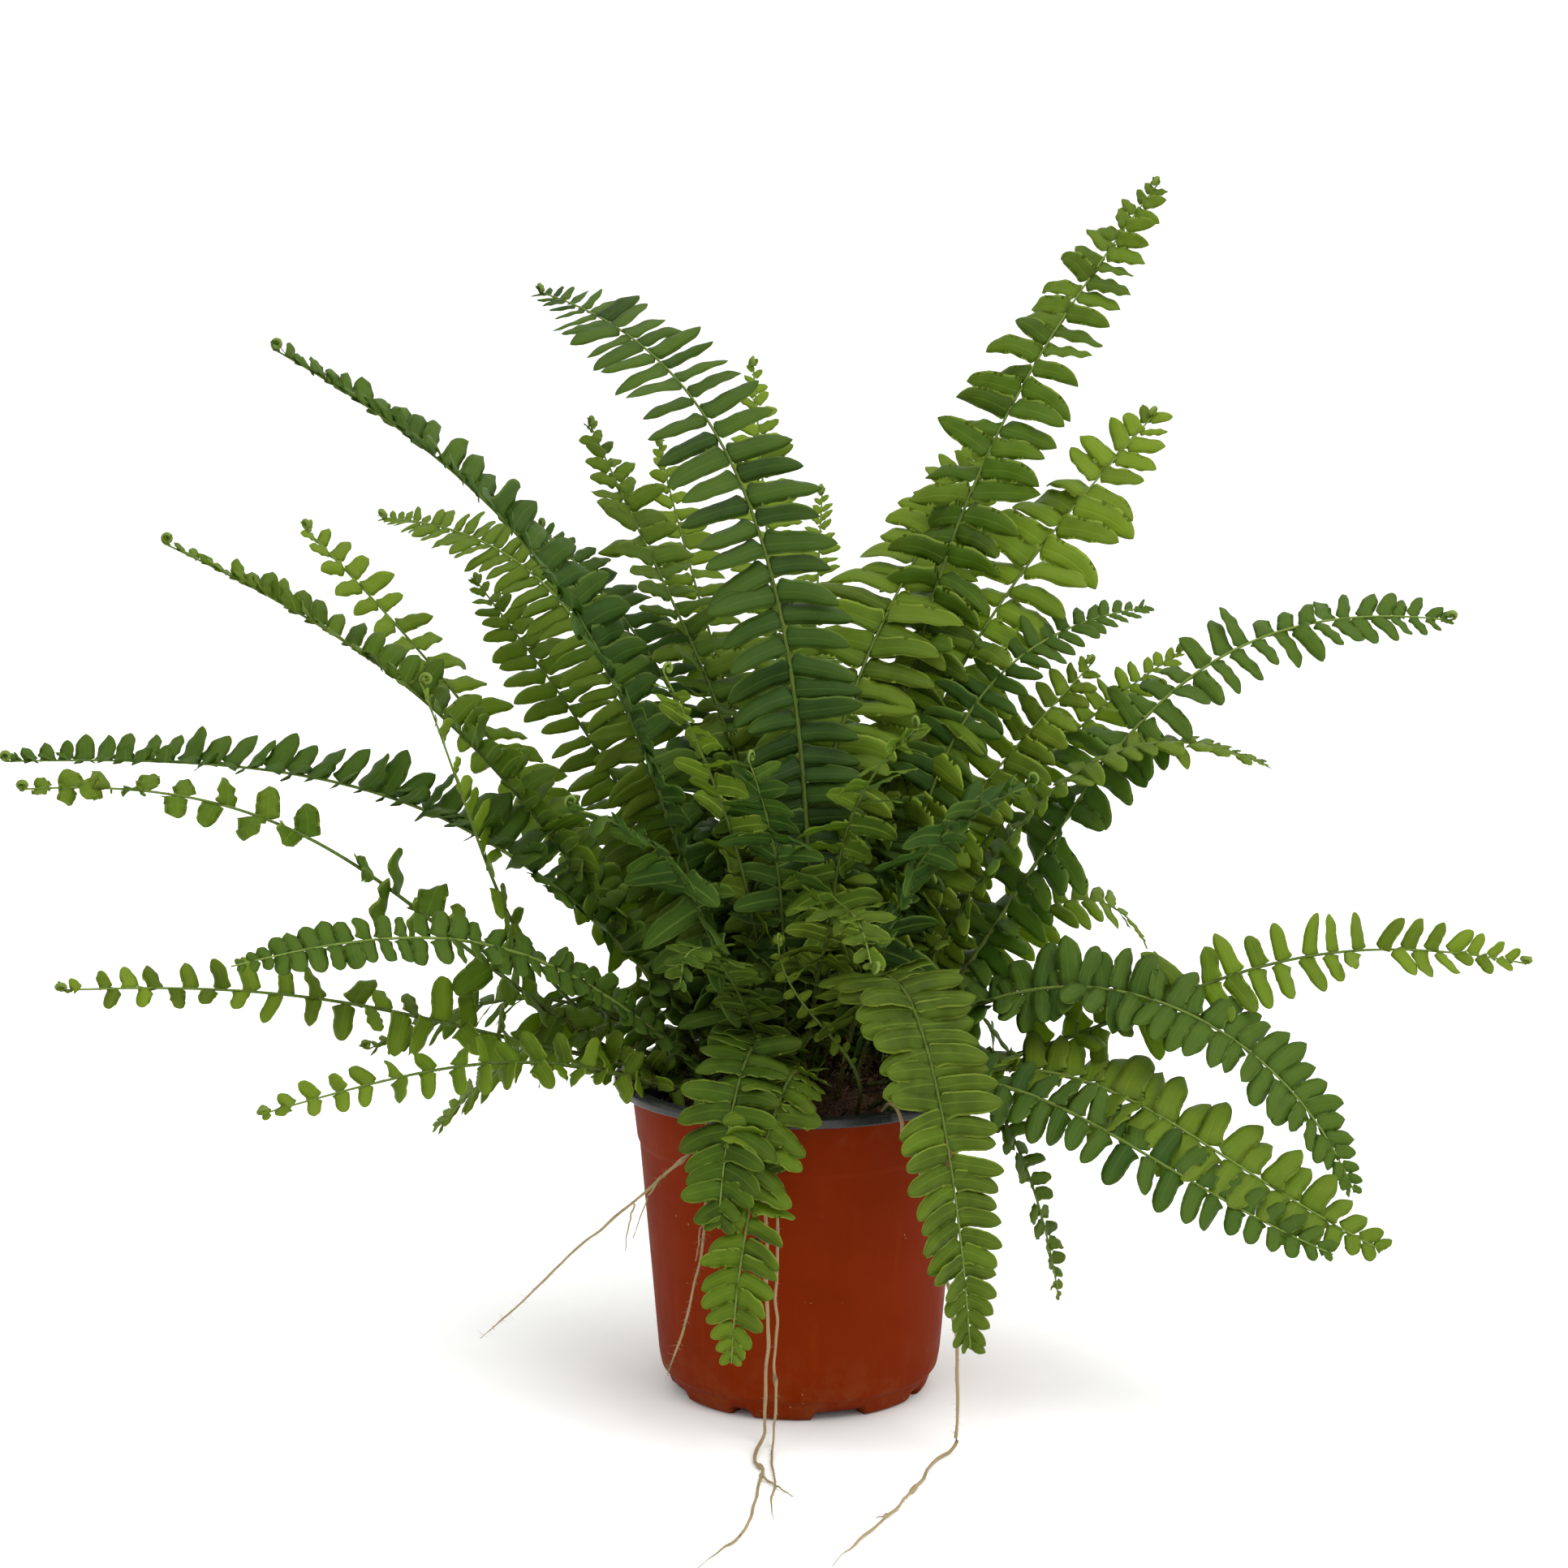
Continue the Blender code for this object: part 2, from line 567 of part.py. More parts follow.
def build_fronds(collection, fixed: list) -> None:
    """Place every frond's spine first, then trim the blades clear of each other."""
    bpy.context.view_layer.update()
    obstacles = [world_tree(piece) for piece in fixed]
    habits = (TALL_FRONDS + RIGHT_FRONDS + LEFT_FRONDS + FRONT_FRONDS + HEART_FRONDS
              + BACK_FRONDS)
    bodies = []
    spines = []
    for habit in habits:
        body = clear_spine(habit, obstacles + spines)
        bodies.append(body)
        spines.append(body.bare_copy_tree())
    for number, body in enumerate(bodies):
        finished = [other.tree() for other in bodies[:number]]
        body.trim(obstacles + finished + spines[number + 1:])
    for number, body in enumerate(bodies, start=1):
        body.to_object(f"frond_{number:02d}", collection)


main()
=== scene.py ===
"""Potted Boston fern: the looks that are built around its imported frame.

A round nursery pot, terracotta outside and black inside, holds damp peat, a scaly crown and
fifty-one fronds. Each frond grows its own leaflets along the spine that the frame gives it, and
five thin runners hang over the lip. Lengths are in metres and angles in degrees, +Z is up, and
the front of the plant looks towards -Y.
"""
import json
import logging
import math
from dataclasses import dataclass, field
from enum import Enum
from typing import Sequence

import bpy
import numpy as np
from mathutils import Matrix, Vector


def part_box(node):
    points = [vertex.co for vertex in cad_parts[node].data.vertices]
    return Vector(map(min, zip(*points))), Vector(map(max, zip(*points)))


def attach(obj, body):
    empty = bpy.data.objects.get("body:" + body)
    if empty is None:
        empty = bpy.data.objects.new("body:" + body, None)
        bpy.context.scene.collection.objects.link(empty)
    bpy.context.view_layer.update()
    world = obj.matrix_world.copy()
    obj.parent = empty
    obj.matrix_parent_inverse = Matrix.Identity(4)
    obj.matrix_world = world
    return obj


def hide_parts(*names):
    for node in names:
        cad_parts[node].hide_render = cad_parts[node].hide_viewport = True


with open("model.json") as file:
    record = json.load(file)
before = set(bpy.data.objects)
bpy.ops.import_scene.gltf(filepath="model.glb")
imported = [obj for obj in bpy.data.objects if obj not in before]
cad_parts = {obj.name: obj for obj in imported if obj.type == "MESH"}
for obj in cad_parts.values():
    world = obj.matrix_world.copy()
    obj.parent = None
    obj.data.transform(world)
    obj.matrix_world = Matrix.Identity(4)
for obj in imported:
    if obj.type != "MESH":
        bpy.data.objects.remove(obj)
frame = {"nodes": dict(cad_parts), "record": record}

LOG = logging.getLogger("potted_fern")
MM = 0.001
DOWN = np.array([0.0, 0.0, -1.0])
BODY = "root"
BAKE_MAP = "OFBake"
Color = tuple[float, float, float]
Cell = tuple[float, float, float, float]    # left, bottom, width and height in the bake map


class Slot(Enum):
    """The record's material slots."""

    POT = "pot_plastic"
    SOIL = "soil"
    RHIZOME = "rhizome"
    LEAF_MID = "leaf_mid"
    LEAF_DARK = "leaf_dark"
    LEAF_LIGHT = "leaf_light"
    RUNNER = "runner"


class Tip(Enum):
    """How a frond ends: still coiled, or opened out."""

    CROZIER = "crozier"
    OPEN = "open"


class Side(Enum):
    """The two faces of a leaflet."""

    UPPER = 0
    UNDER = 1


# ---- Small helpers for arrays of vectors ----


def unit(vectors: np.ndarray) -> np.ndarray:
    """Scale vectors on the last axis to length one."""
    lengths = np.linalg.norm(vectors, axis=-1, keepdims=True)
    return vectors / np.maximum(lengths, 1e-12)


def flatten_to(vectors: np.ndarray, normal: np.ndarray) -> np.ndarray:
    """Take the part of each vector that is square to a unit normal, at length one."""
    along = np.sum(vectors * normal, axis=-1, keepdims=True)
    return unit(vectors - normal * along)


def spun(vectors: np.ndarray, axes: np.ndarray, angles: np.ndarray) -> np.ndarray:
    """Turn vectors about unit axes.

    Args:
        vectors: Vectors on the last axis, each square to its own axis.
        axes: Unit axes, shaped as the vectors are.
        angles: Angles in radians, one for each vector.

    Returns:
        The turned vectors.
    """
    cosine = np.cos(angles)[..., None]
    sine = np.sin(angles)[..., None]
    return vectors * cosine + np.cross(axes, vectors) * sine


def smooth_noise(marks: np.ndarray, pitch: float, rng: np.random.Generator) -> np.ndarray:
    """Read a smooth random curve between -1 and 1 at distances along a stem.

    Args:
        marks: Distances along the stem.
        pitch: Distance between the curve's random knots.
        rng: Source of the knots.

    Returns:
        One value for each mark.
    """
    knots = int(marks.max() / pitch) + 4
    heights = rng.uniform(-1, 1, knots)
    place = marks / pitch + 0.5
    low = place.astype(int)
    share = place - low
    share = share * share * (3 - 2 * share)
    return heights[low] * (1 - share) + heights[low + 1] * share


def through_points(points: np.ndarray, step: float) -> np.ndarray:
    """Lay a smooth curve through points and read it at an even step.

    Args:
        points: The points to pass through, in order.
        step: Wanted distance between the returned points.

    Returns:
        Points along the curve, first and last ones included.
    """
    spans = np.linalg.norm(np.diff(points, axis=0), axis=1)
    marks = np.concatenate([[0.0], np.cumsum(spans)])
    slopes = np.gradient(points, marks, axis=0)
    count = max(3, round(marks[-1] / step) + 1)
    wanted = np.linspace(0.0, marks[-1], count)
    index = np.clip(np.searchsorted(marks, wanted, side="right") - 1, 0, len(spans) - 1)
    width = spans[index][:, None]
    share = ((wanted - marks[index]) / spans[index])[:, None]
    square = share * share
    cube = square * share
    return ((2 * cube - 3 * square + 1) * points[index]
            + (cube - 2 * square + share) * width * slopes[index]
            + (3 * square - 2 * cube) * points[index + 1]
            + (cube - square) * width * slopes[index + 1])


# ---- Stem lines read from the frame ----

STATION_REACH = 3 * MM      # the corners of a stem's last ring lie closer together than this
TOOTH_SPREAD = 6 * MM       # a ring wider than this has blade teeth, which show its side
CROWN_MIDDLE = np.array([0.0, 0.0, 95 * MM])


def ring_sections(node: str) -> list[np.ndarray]:
    """Split a stem's solid into its rings of corners, from the crown outwards.

    Args:
        node: Name of a frond or runner in the frame.

    Returns:
        The corners of each ring, in order along the stem.
    """
    mesh = frame["nodes"][node].data
    raw = np.array([vertex.co for vertex in mesh.vertices], float).round(7)
    corners, where = np.unique(raw, axis=0, return_inverse=True)
    where = where.ravel()
    links: list[set[int]] = [set() for _ in corners]
    for polygon in mesh.polygons:
        ring = [int(where[index]) for index in polygon.vertices]
        for corner in ring:
            links[corner].update(ring)
    rings = walk_rings(links, walk_rings(links, {0})[-1])
    far = corners[next(iter(rings[-1]))]
    near = np.linalg.norm(corners - far, axis=1) < STATION_REACH
    rings = walk_rings(links, set(np.flatnonzero(near).tolist()))
    sections = [corners[sorted(ring)] for ring in rings]
    ends = [np.linalg.norm(section.mean(axis=0) - CROWN_MIDDLE)
            for section in (sections[0], sections[-1])]
    return sections if ends[0] < ends[1] else sections[::-1]


def walk_rings(links: list[set[int]], start: set[int]) -> list[set[int]]:
    """Spread over a surface from some corners, one edge at a time.

    Args:
        links: The neighbours of each corner.
        start: Corners to start from.

    Returns:
        The corners reached at each step, the start first.
    """
    seen = set(start)
    layers = [set(start)]
    while True:
        reached = set().union(*(links[corner] for corner in layers[-1])) - seen
        if not reached:
            return layers
        seen |= reached
        layers.append(reached)


@dataclass
class Stem:
    """A smooth stem line with a frame at each point.

    Attributes:
        points: Points of the line, evenly spaced.
        ahead: Unit tangents.
        side: Unit vectors to the blade's left.
        face: Unit normals of the blade's upper side.
        marks: Distance of each point from the foot.
        blade_start: Distance at which the leaflets begin.
    """

    points: np.ndarray
    ahead: np.ndarray
    side: np.ndarray
    face: np.ndarray
    marks: np.ndarray
    blade_start: float

    @property
    def length(self) -> float:
        """Length of the line."""
        return float(self.marks[-1])

    def read(self, values: np.ndarray, marks: np.ndarray) -> np.ndarray:
        """Read one of the stem's rows of vectors at some distances."""
        columns = [np.interp(marks, self.marks, values[:, axis]) for axis in range(3)]
        return np.stack(columns, axis=1)

    @classmethod
    def from_points(cls, points: np.ndarray, sides: np.ndarray, blade_start: float) -> "Stem":
        """Build the line's frames.

        Args:
            points: Points of the line.
            sides: A vector near the blade's left at each point.
            blade_start: Distance at which the leaflets begin.

        Returns:
            The stem.
        """
        spans = np.linalg.norm(np.diff(points, axis=0), axis=1)
        marks = np.concatenate([[0.0], np.cumsum(spans)])
        ahead = unit(np.gradient(points, marks, axis=0))
        side = flatten_to(sides, ahead)
        return cls(points, ahead, side, np.cross(ahead, side), marks, blade_start)

    @classmethod
    def of_frond(cls, node: str, step: float = 1.5 * MM) -> "Stem":
        """Recover a frond's line, and which way its blade faces, from the frame.

        Args:
            node: Name of the frond.
            step: Distance between the line's points.

        Returns:
            The frond's stem.
        """
        sections = ring_sections(node)
        centres = np.array([ring_centre(section) for section in sections])
        bearing = math.atan2(centres[-1][1], centres[-1][0])
        level = np.array([-math.sin(bearing), math.cos(bearing), 0.0])
        spans = np.linalg.norm(np.diff(centres, axis=0), axis=1)
        marks = np.concatenate([[0.0], np.cumsum(spans)])
        known = [(mark, ring_side(section, level)) for mark, section in zip(marks, sections)
                 if ring_width(section) > TOOTH_SPREAD]
        points = through_points(centres, step)
        wanted = np.linspace(0.0, marks[-1], len(points))
        if not known:
            known = [(0.0, level)]
        places = [mark for mark, _ in known]
        vectors = np.array([vector for _, vector in known])
        sides = np.stack([np.interp(wanted, places, vectors[:, axis]) for axis in range(3)], 1)
        return cls.from_points(points, sides, marks[2])

    @classmethod
    def of_runner(cls, node: str, step: float = 2 * MM) -> "Stem":
        """Recover a runner's line from the frame.

        Args:
            node: Name of the runner.
            step: Distance between the line's points.

        Returns:
            The runner's stem.
        """
        centres = np.array([section.mean(axis=0) for section in ring_sections(node)])
        points = through_points(centres, step)
        ahead = np.gradient(points, axis=0)
        sides = np.cross(np.broadcast_to([0.3, 0.2, 0.93], points.shape), ahead)
        return cls.from_points(points, sides, 0.0)


def ring_width(section: np.ndarray) -> float:
    """Greatest distance between two corners of a ring."""
    return float(np.linalg.norm(section[:, None] - section[None], axis=2).max())


def ring_pairs(section: np.ndarray) -> tuple[list[int], list[int]]:
    """Sort a ring's four corners.

    Args:
        section: The corners.

    Returns:
        Indices of the close pair on the ridge, and of the pair at the teeth.
    """
    gaps = np.linalg.norm(section[:, None] - section[None], axis=2)
    gaps[np.tril_indices(len(section))] = np.inf
    ridge = list(np.unravel_index(int(gaps.argmin()), gaps.shape))
    teeth = [index for index in range(len(section)) if index not in ridge]
    return ridge, teeth


def ring_centre(section: np.ndarray) -> np.ndarray:
    """Find the point of the spine inside a ring.

    Args:
        section: The ring's corners.

    Returns:
        The point.
    """
    if len(section) != 4 or ring_width(section) < TOOTH_SPREAD:
        return section.mean(axis=0)
    return section[ring_pairs(section)[0]].mean(axis=0)


def ring_side(section: np.ndarray, level: np.ndarray) -> np.ndarray:
    """Find the way to the blade's left at a toothed ring.

    Args:
        section: The ring's corners.
        level: A vector that is near the blade's left.

    Returns:
        The unit vector.
    """
    ends = section[ring_pairs(section)[1]]
    across = unit(ends[1] - ends[0])
    return across if across @ level > 0 else -across


# ---- Mesh work ----


@dataclass
class MeshParts:
    """Faces and points of a piece that is put together from many small bodies.

    Attributes:
        points: Arrays of vertices, one for each body added.
        faces: Arrays of corner indices, quads or triangles padded with -1.
        slots: Material index of each face.
        maps: Bake-map corner places of each face, shaped (faces, 4, 2).
        values: Named values, one for each vertex.
        count: Number of vertices so far.
    """

    points: list[np.ndarray] = field(default_factory=list)
    faces: list[np.ndarray] = field(default_factory=list)
    slots: list[np.ndarray] = field(default_factory=list)
    maps: list[np.ndarray] = field(default_factory=list)
    values: dict[str, list[np.ndarray]] = field(default_factory=dict)
    count: int = 0

    def add(self, points: np.ndarray, faces: np.ndarray, slots: np.ndarray | int,
            maps: np.ndarray, **values: np.ndarray | float) -> None:
        """Add one body, or many of a kind at once.

        Args:
            points: Vertices, shaped (n, 3).
            faces: Corner indices, shaped (m, 4), a triangle's last one being -1.
            slots: Material index, one for all faces or one each.
            maps: Places in the bake map, shaped (m, 4, 2).
            values: Named values, one for all vertices or one each.
        """
        shifted = np.where(faces >= 0, faces + self.count, -1)
        self.points.append(points)
        self.faces.append(shifted)
        self.slots.append(np.broadcast_to(slots, len(faces)))
        self.maps.append(maps)
        for name, value in values.items():
            column = self.values.setdefault(name, [])
            have = sum(len(part) for part in column)
            if have < self.count:
                column.append(np.zeros(self.count - have))
            column.append(np.broadcast_to(value, len(points)))
        self.count += len(points)

    def to_object(self, name: str, materials: Sequence[bpy.types.Material]) -> bpy.types.Object:
        """Make the object, with its materials, values and bake map.

        Args:
            name: Name of the piece.
            materials: Materials in the order of the face slots.

        Returns:
            The new object, linked to the scene.
        """
        faces = np.concatenate(self.faces)
        kept = faces >= 0
        sizes = kept.sum(axis=1)
        mesh = bpy.data.meshes.new(name)
        mesh.vertices.add(self.count)
        mesh.vertices.foreach_set("co", np.concatenate(self.points).astype(np.float32).ravel())
        mesh.loops.add(int(sizes.sum()))
        mesh.loops.foreach_set("vertex_index", faces[kept].astype(np.int32))
        mesh.polygons.add(len(faces))
        starts = np.concatenate([[0], np.cumsum(sizes)[:-1]]).astype(np.int32)
        mesh.polygons.foreach_set("loop_start", starts)
        mesh.polygons.foreach_set("material_index", np.concatenate(self.slots).astype(np.int32))
        mesh.update(calc_edges=True)
        bake = mesh.uv_layers.new(name=BAKE_MAP)
        bake.data.foreach_set("uv", np.concatenate(self.maps)[kept].astype(np.float32).ravel())
        for label, column in self.values.items():
            whole = np.concatenate(column)
            whole = np.concatenate([whole, np.zeros(self.count - len(whole))])
            attribute = mesh.attributes.new(label, 'FLOAT', 'POINT')
            attribute.data.foreach_set("value", whole.astype(np.float32))
        mesh.shade_smooth()
        for material in materials:
            mesh.materials.append(material)
        piece = bpy.data.objects.new(name, mesh)
        bpy.context.scene.collection.objects.link(piece)
        return piece


def grid_faces(rows: int, columns: int, closed: bool = False) -> np.ndarray:
    """Corner indices of the quads of a grid whose points run row by row.

    Args:
        rows: Number of point rows.
        columns: Number of points in a row.
        closed: Whether the last column joins the first.

    Returns:
        Faces, shaped (m, 4), facing along rows x columns.
    """
    across = np.arange(columns if closed else columns - 1)
    down = np.arange(rows - 1)[:, None]
    near = down * columns + across
    after = down * columns + (across + 1) % columns
    quads = np.stack([near, near + columns, after + columns, after], axis=-1)
    return quads.reshape(-1, 4)


def grid_map(rows: int, columns: int, cell: Cell, closed: bool = False) -> np.ndarray:
    """Lay the quads of grid_faces out in a cell of the bake map.

    Args:
        rows: Number of point rows.
        columns: Number of points in a row.
        cell: The cell to fill.
        closed: Whether the last column joins the first.

    Returns:
        The places of each face's corners, shaped (m, 4, 2).
    """
    strips = columns if closed else columns - 1
    across, down = np.meshgrid(np.arange(strips), np.arange(rows - 1))
    corners = [(down, across), (down + 1, across), (down + 1, across + 1), (down, across + 1)]
    left, bottom, width, height = cell
    places = [np.stack([left + width * row / (rows - 1), bottom + height * column / strips], -1)
              for row, column in corners]
    return np.stack(places, axis=2).reshape(-1, 4, 2)


def turned_body(parts: MeshParts, grid: np.ndarray, area: Cell, tint: float) -> None:
    """Add a turned body and close the small rings at both of its ends.

    Args:
        parts: Mesh that takes it.
        grid: Points, shaped (turns, columns, 3).
        area: Its cell of the bake map, with the caps just above it.
        tint: Tint of the whole body.
    """
    rows, columns = grid.shape[:2]
    faces = grid_faces(rows + 1, columns) % (rows * columns)
    rings = [np.arange(rows) * columns + column for column in (0, columns - 1)]
    loops = [np.stack([np.full(rows, ring[0]), ring, np.roll(ring, -1), np.full(rows, -1)], 1)
             for ring in rings]
    caps = np.concatenate([loops[0][1:-1, [0, 2, 1, 3]], loops[1][1:-1]])
    corner = np.array([0.0, area[1] + area[3]])
    dots = corner + np.array([[0.0, 0.002], [0.002, 0.002], [0.0, 0.003], [0.0, 0.002]])
    parts.add(grid.reshape(-1, 3), np.concatenate([faces, caps]), 0,
              np.concatenate([grid_map(rows + 1, columns, area),
                              np.tile(dots, (len(caps), 1, 1))]), tint=tint)


def cell_at(index: int, total: int, area: Cell) -> Cell:
    """Share an area of the bake map out into equal cells, with a small margin each.

    Args:
        index: Which cell is wanted.
        total: Number of cells.
        area: The area.

    Returns:
        The cell.
    """
    columns = max(1, math.ceil(math.sqrt(total)))
    rows = max(1, math.ceil(total / columns))
    left, bottom, width, height = area
    wide, high = width / columns, height / rows
    row, column = divmod(index, columns)
    return (left + wide * (column + 0.05), bottom + high * (row + 0.05), wide * 0.9, high * 0.9)


def tube(parts: MeshParts, stem: Stem, radii: np.ndarray, slot: int, area: Cell,
         sides: int = 8, **values: np.ndarray | float) -> None:
    """Add a closed round tube along a stem.

    Args:
        parts: Mesh that takes it.
        stem: Line of the tube.
        radii: Radius at each of the stem's points.
        slot: Material index.
        area: Cell of the bake map.
        sides: Number of sides round.
        values: Named values, one for all, or one for each of the stem's points.
    """
    rows = len(stem.points)
    turns = np.linspace(0, 2 * math.pi, sides, endpoint=False)
    ring = (np.cos(turns)[None, :, None] * stem.side[:, None]
            + np.sin(turns)[None, :, None] * stem.face[:, None])
    body = stem.points[:, None] + ring * radii[:, None, None]
    ends = np.stack([stem.points[0] - stem.ahead[0] * radii[0] * 0.4,
                     stem.points[-1] + stem.ahead[-1] * radii[-1] * 0.4])
    points = np.concatenate([body.reshape(-1, 3), ends])
    faces = grid_faces(rows, sides, closed=True)
    foot, tip = rows * sides, rows * sides + 1
    base = np.arange(sides)
    nxt = (base + 1) % sides
    none = np.full(sides, -1)
    last = (rows - 1) * sides
    caps = np.concatenate([np.stack([np.full(sides, foot), nxt, base, none], 1),
                           np.stack([np.full(sides, tip), last + base, last + nxt, none], 1)])
    left, bottom, width, height = area
    maps = grid_map(rows, sides, (left, bottom, width, height * 0.9), closed=True)
    spread = np.array([[0.0, 0.0], [1.0, 0.0], [0.5, 1.0], [0.0, 0.0]])
    strip = np.array([width / (2 * sides), height * 0.08])
    corner = np.stack([left + width * np.arange(2 * sides) / (2 * sides),
                       np.full(2 * sides, bottom + height * 0.92)], 1)
    cap_maps = corner[:, None] + spread * strip
    spread_values = {}
    for name, value in values.items():
        line = np.broadcast_to(value, rows)
        spread_values[name] = np.concatenate([np.repeat(line, sides), [line[0], line[-1]]])
    # The ring runs against the faces' order, so each face is turned over.
    parts.add(points, np.concatenate([faces[:, ::-1], caps]), slot,
              np.concatenate([maps[:, ::-1], cap_maps]), **spread_values)


def spikes(parts: MeshParts, bases: np.ndarray, tips: np.ndarray, width: float | np.ndarray,
           slot: int, area: Cell, **values: np.ndarray | float) -> None:
    """Add many thin three-sided spikes, such as hairs, scales and root hairs.

    Args:
        parts: Mesh that takes them.
        bases: Middle of each spike's foot.
        tips: Point of each spike.
        width: Width of the foot, one for all or one each.
        slot: Material index.
        area: Cell of the bake map that all of them share out.
        values: Named values, one for all, or one for each spike.
    """
    count = len(bases)
    along = unit(tips - bases)
    helper = np.where(np.abs(along[:, 2:3]) < 0.8, [[0.0, 0.0, 1.0]], [[1.0, 0.0, 0.0]])
    first = flatten_to(np.broadcast_to(helper, along.shape), along)
    second = np.cross(along, first)
    size = np.broadcast_to(np.asarray(width, float), count)[:, None] / 2
    corners = [bases + (first * math.cos(turn) + second * math.sin(turn)) * size
               for turn in (0.0, 2 * math.pi / 3, 4 * math.pi / 3)]
    points = np.stack([*corners, tips], axis=1).reshape(-1, 3)
    pattern = np.array([[0, 1, 3, -1], [1, 2, 3, -1], [2, 0, 3, -1], [0, 2, 1, -1]])
    shift = (np.arange(count) * 4)[:, None, None]
    faces = np.where(pattern >= 0, pattern + shift, -1).reshape(-1, 4)
    columns = max(1, math.ceil(math.sqrt(count)))
    left, bottom, wide, high = area
    step = np.array([wide / columns, high / math.ceil(count / columns)])
    row, column = np.divmod(np.arange(count), columns)
    corner = np.array([left, bottom]) + np.stack([column, row], 1) * step
    shape = np.array([[[0.0, 0.0], [0.45, 0.0], [0.2, 0.9], [0.0, 0.0]],
                      [[0.5, 0.0], [0.9, 0.0], [0.7, 0.4], [0.0, 0.0]],
                      [[0.5, 0.5], [0.9, 0.5], [0.7, 0.9], [0.0, 0.0]],
                      [[0.3, 0.6], [0.45, 0.6], [0.4, 0.9], [0.0, 0.0]]])
    maps = (corner[:, None, None] + shape[None] * step).reshape(-1, 4, 2)
    spread = {name: np.repeat(np.broadcast_to(value, count), 4)
              for name, value in values.items()}
    parts.add(points, faces, slot, maps, **spread)


def place(piece: bpy.types.Object, slot: Slot, node: str) -> bpy.types.Object:
    """Fix a piece to the body and let it stand for a frame node.

    Args:
        piece: The piece.
        slot: Its material slot; not used.
        node: The node that it replaces.

    Returns:
        The same piece.
    """
    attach(piece, BODY)
    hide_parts(node)
    LOG.info("%s: %d faces", piece.name, len(piece.data.polygons))
    return piece


# ---- Finishes ----


Socket = bpy.types.NodeSocket
Input = Socket | float | Color      # what a node's input can be given


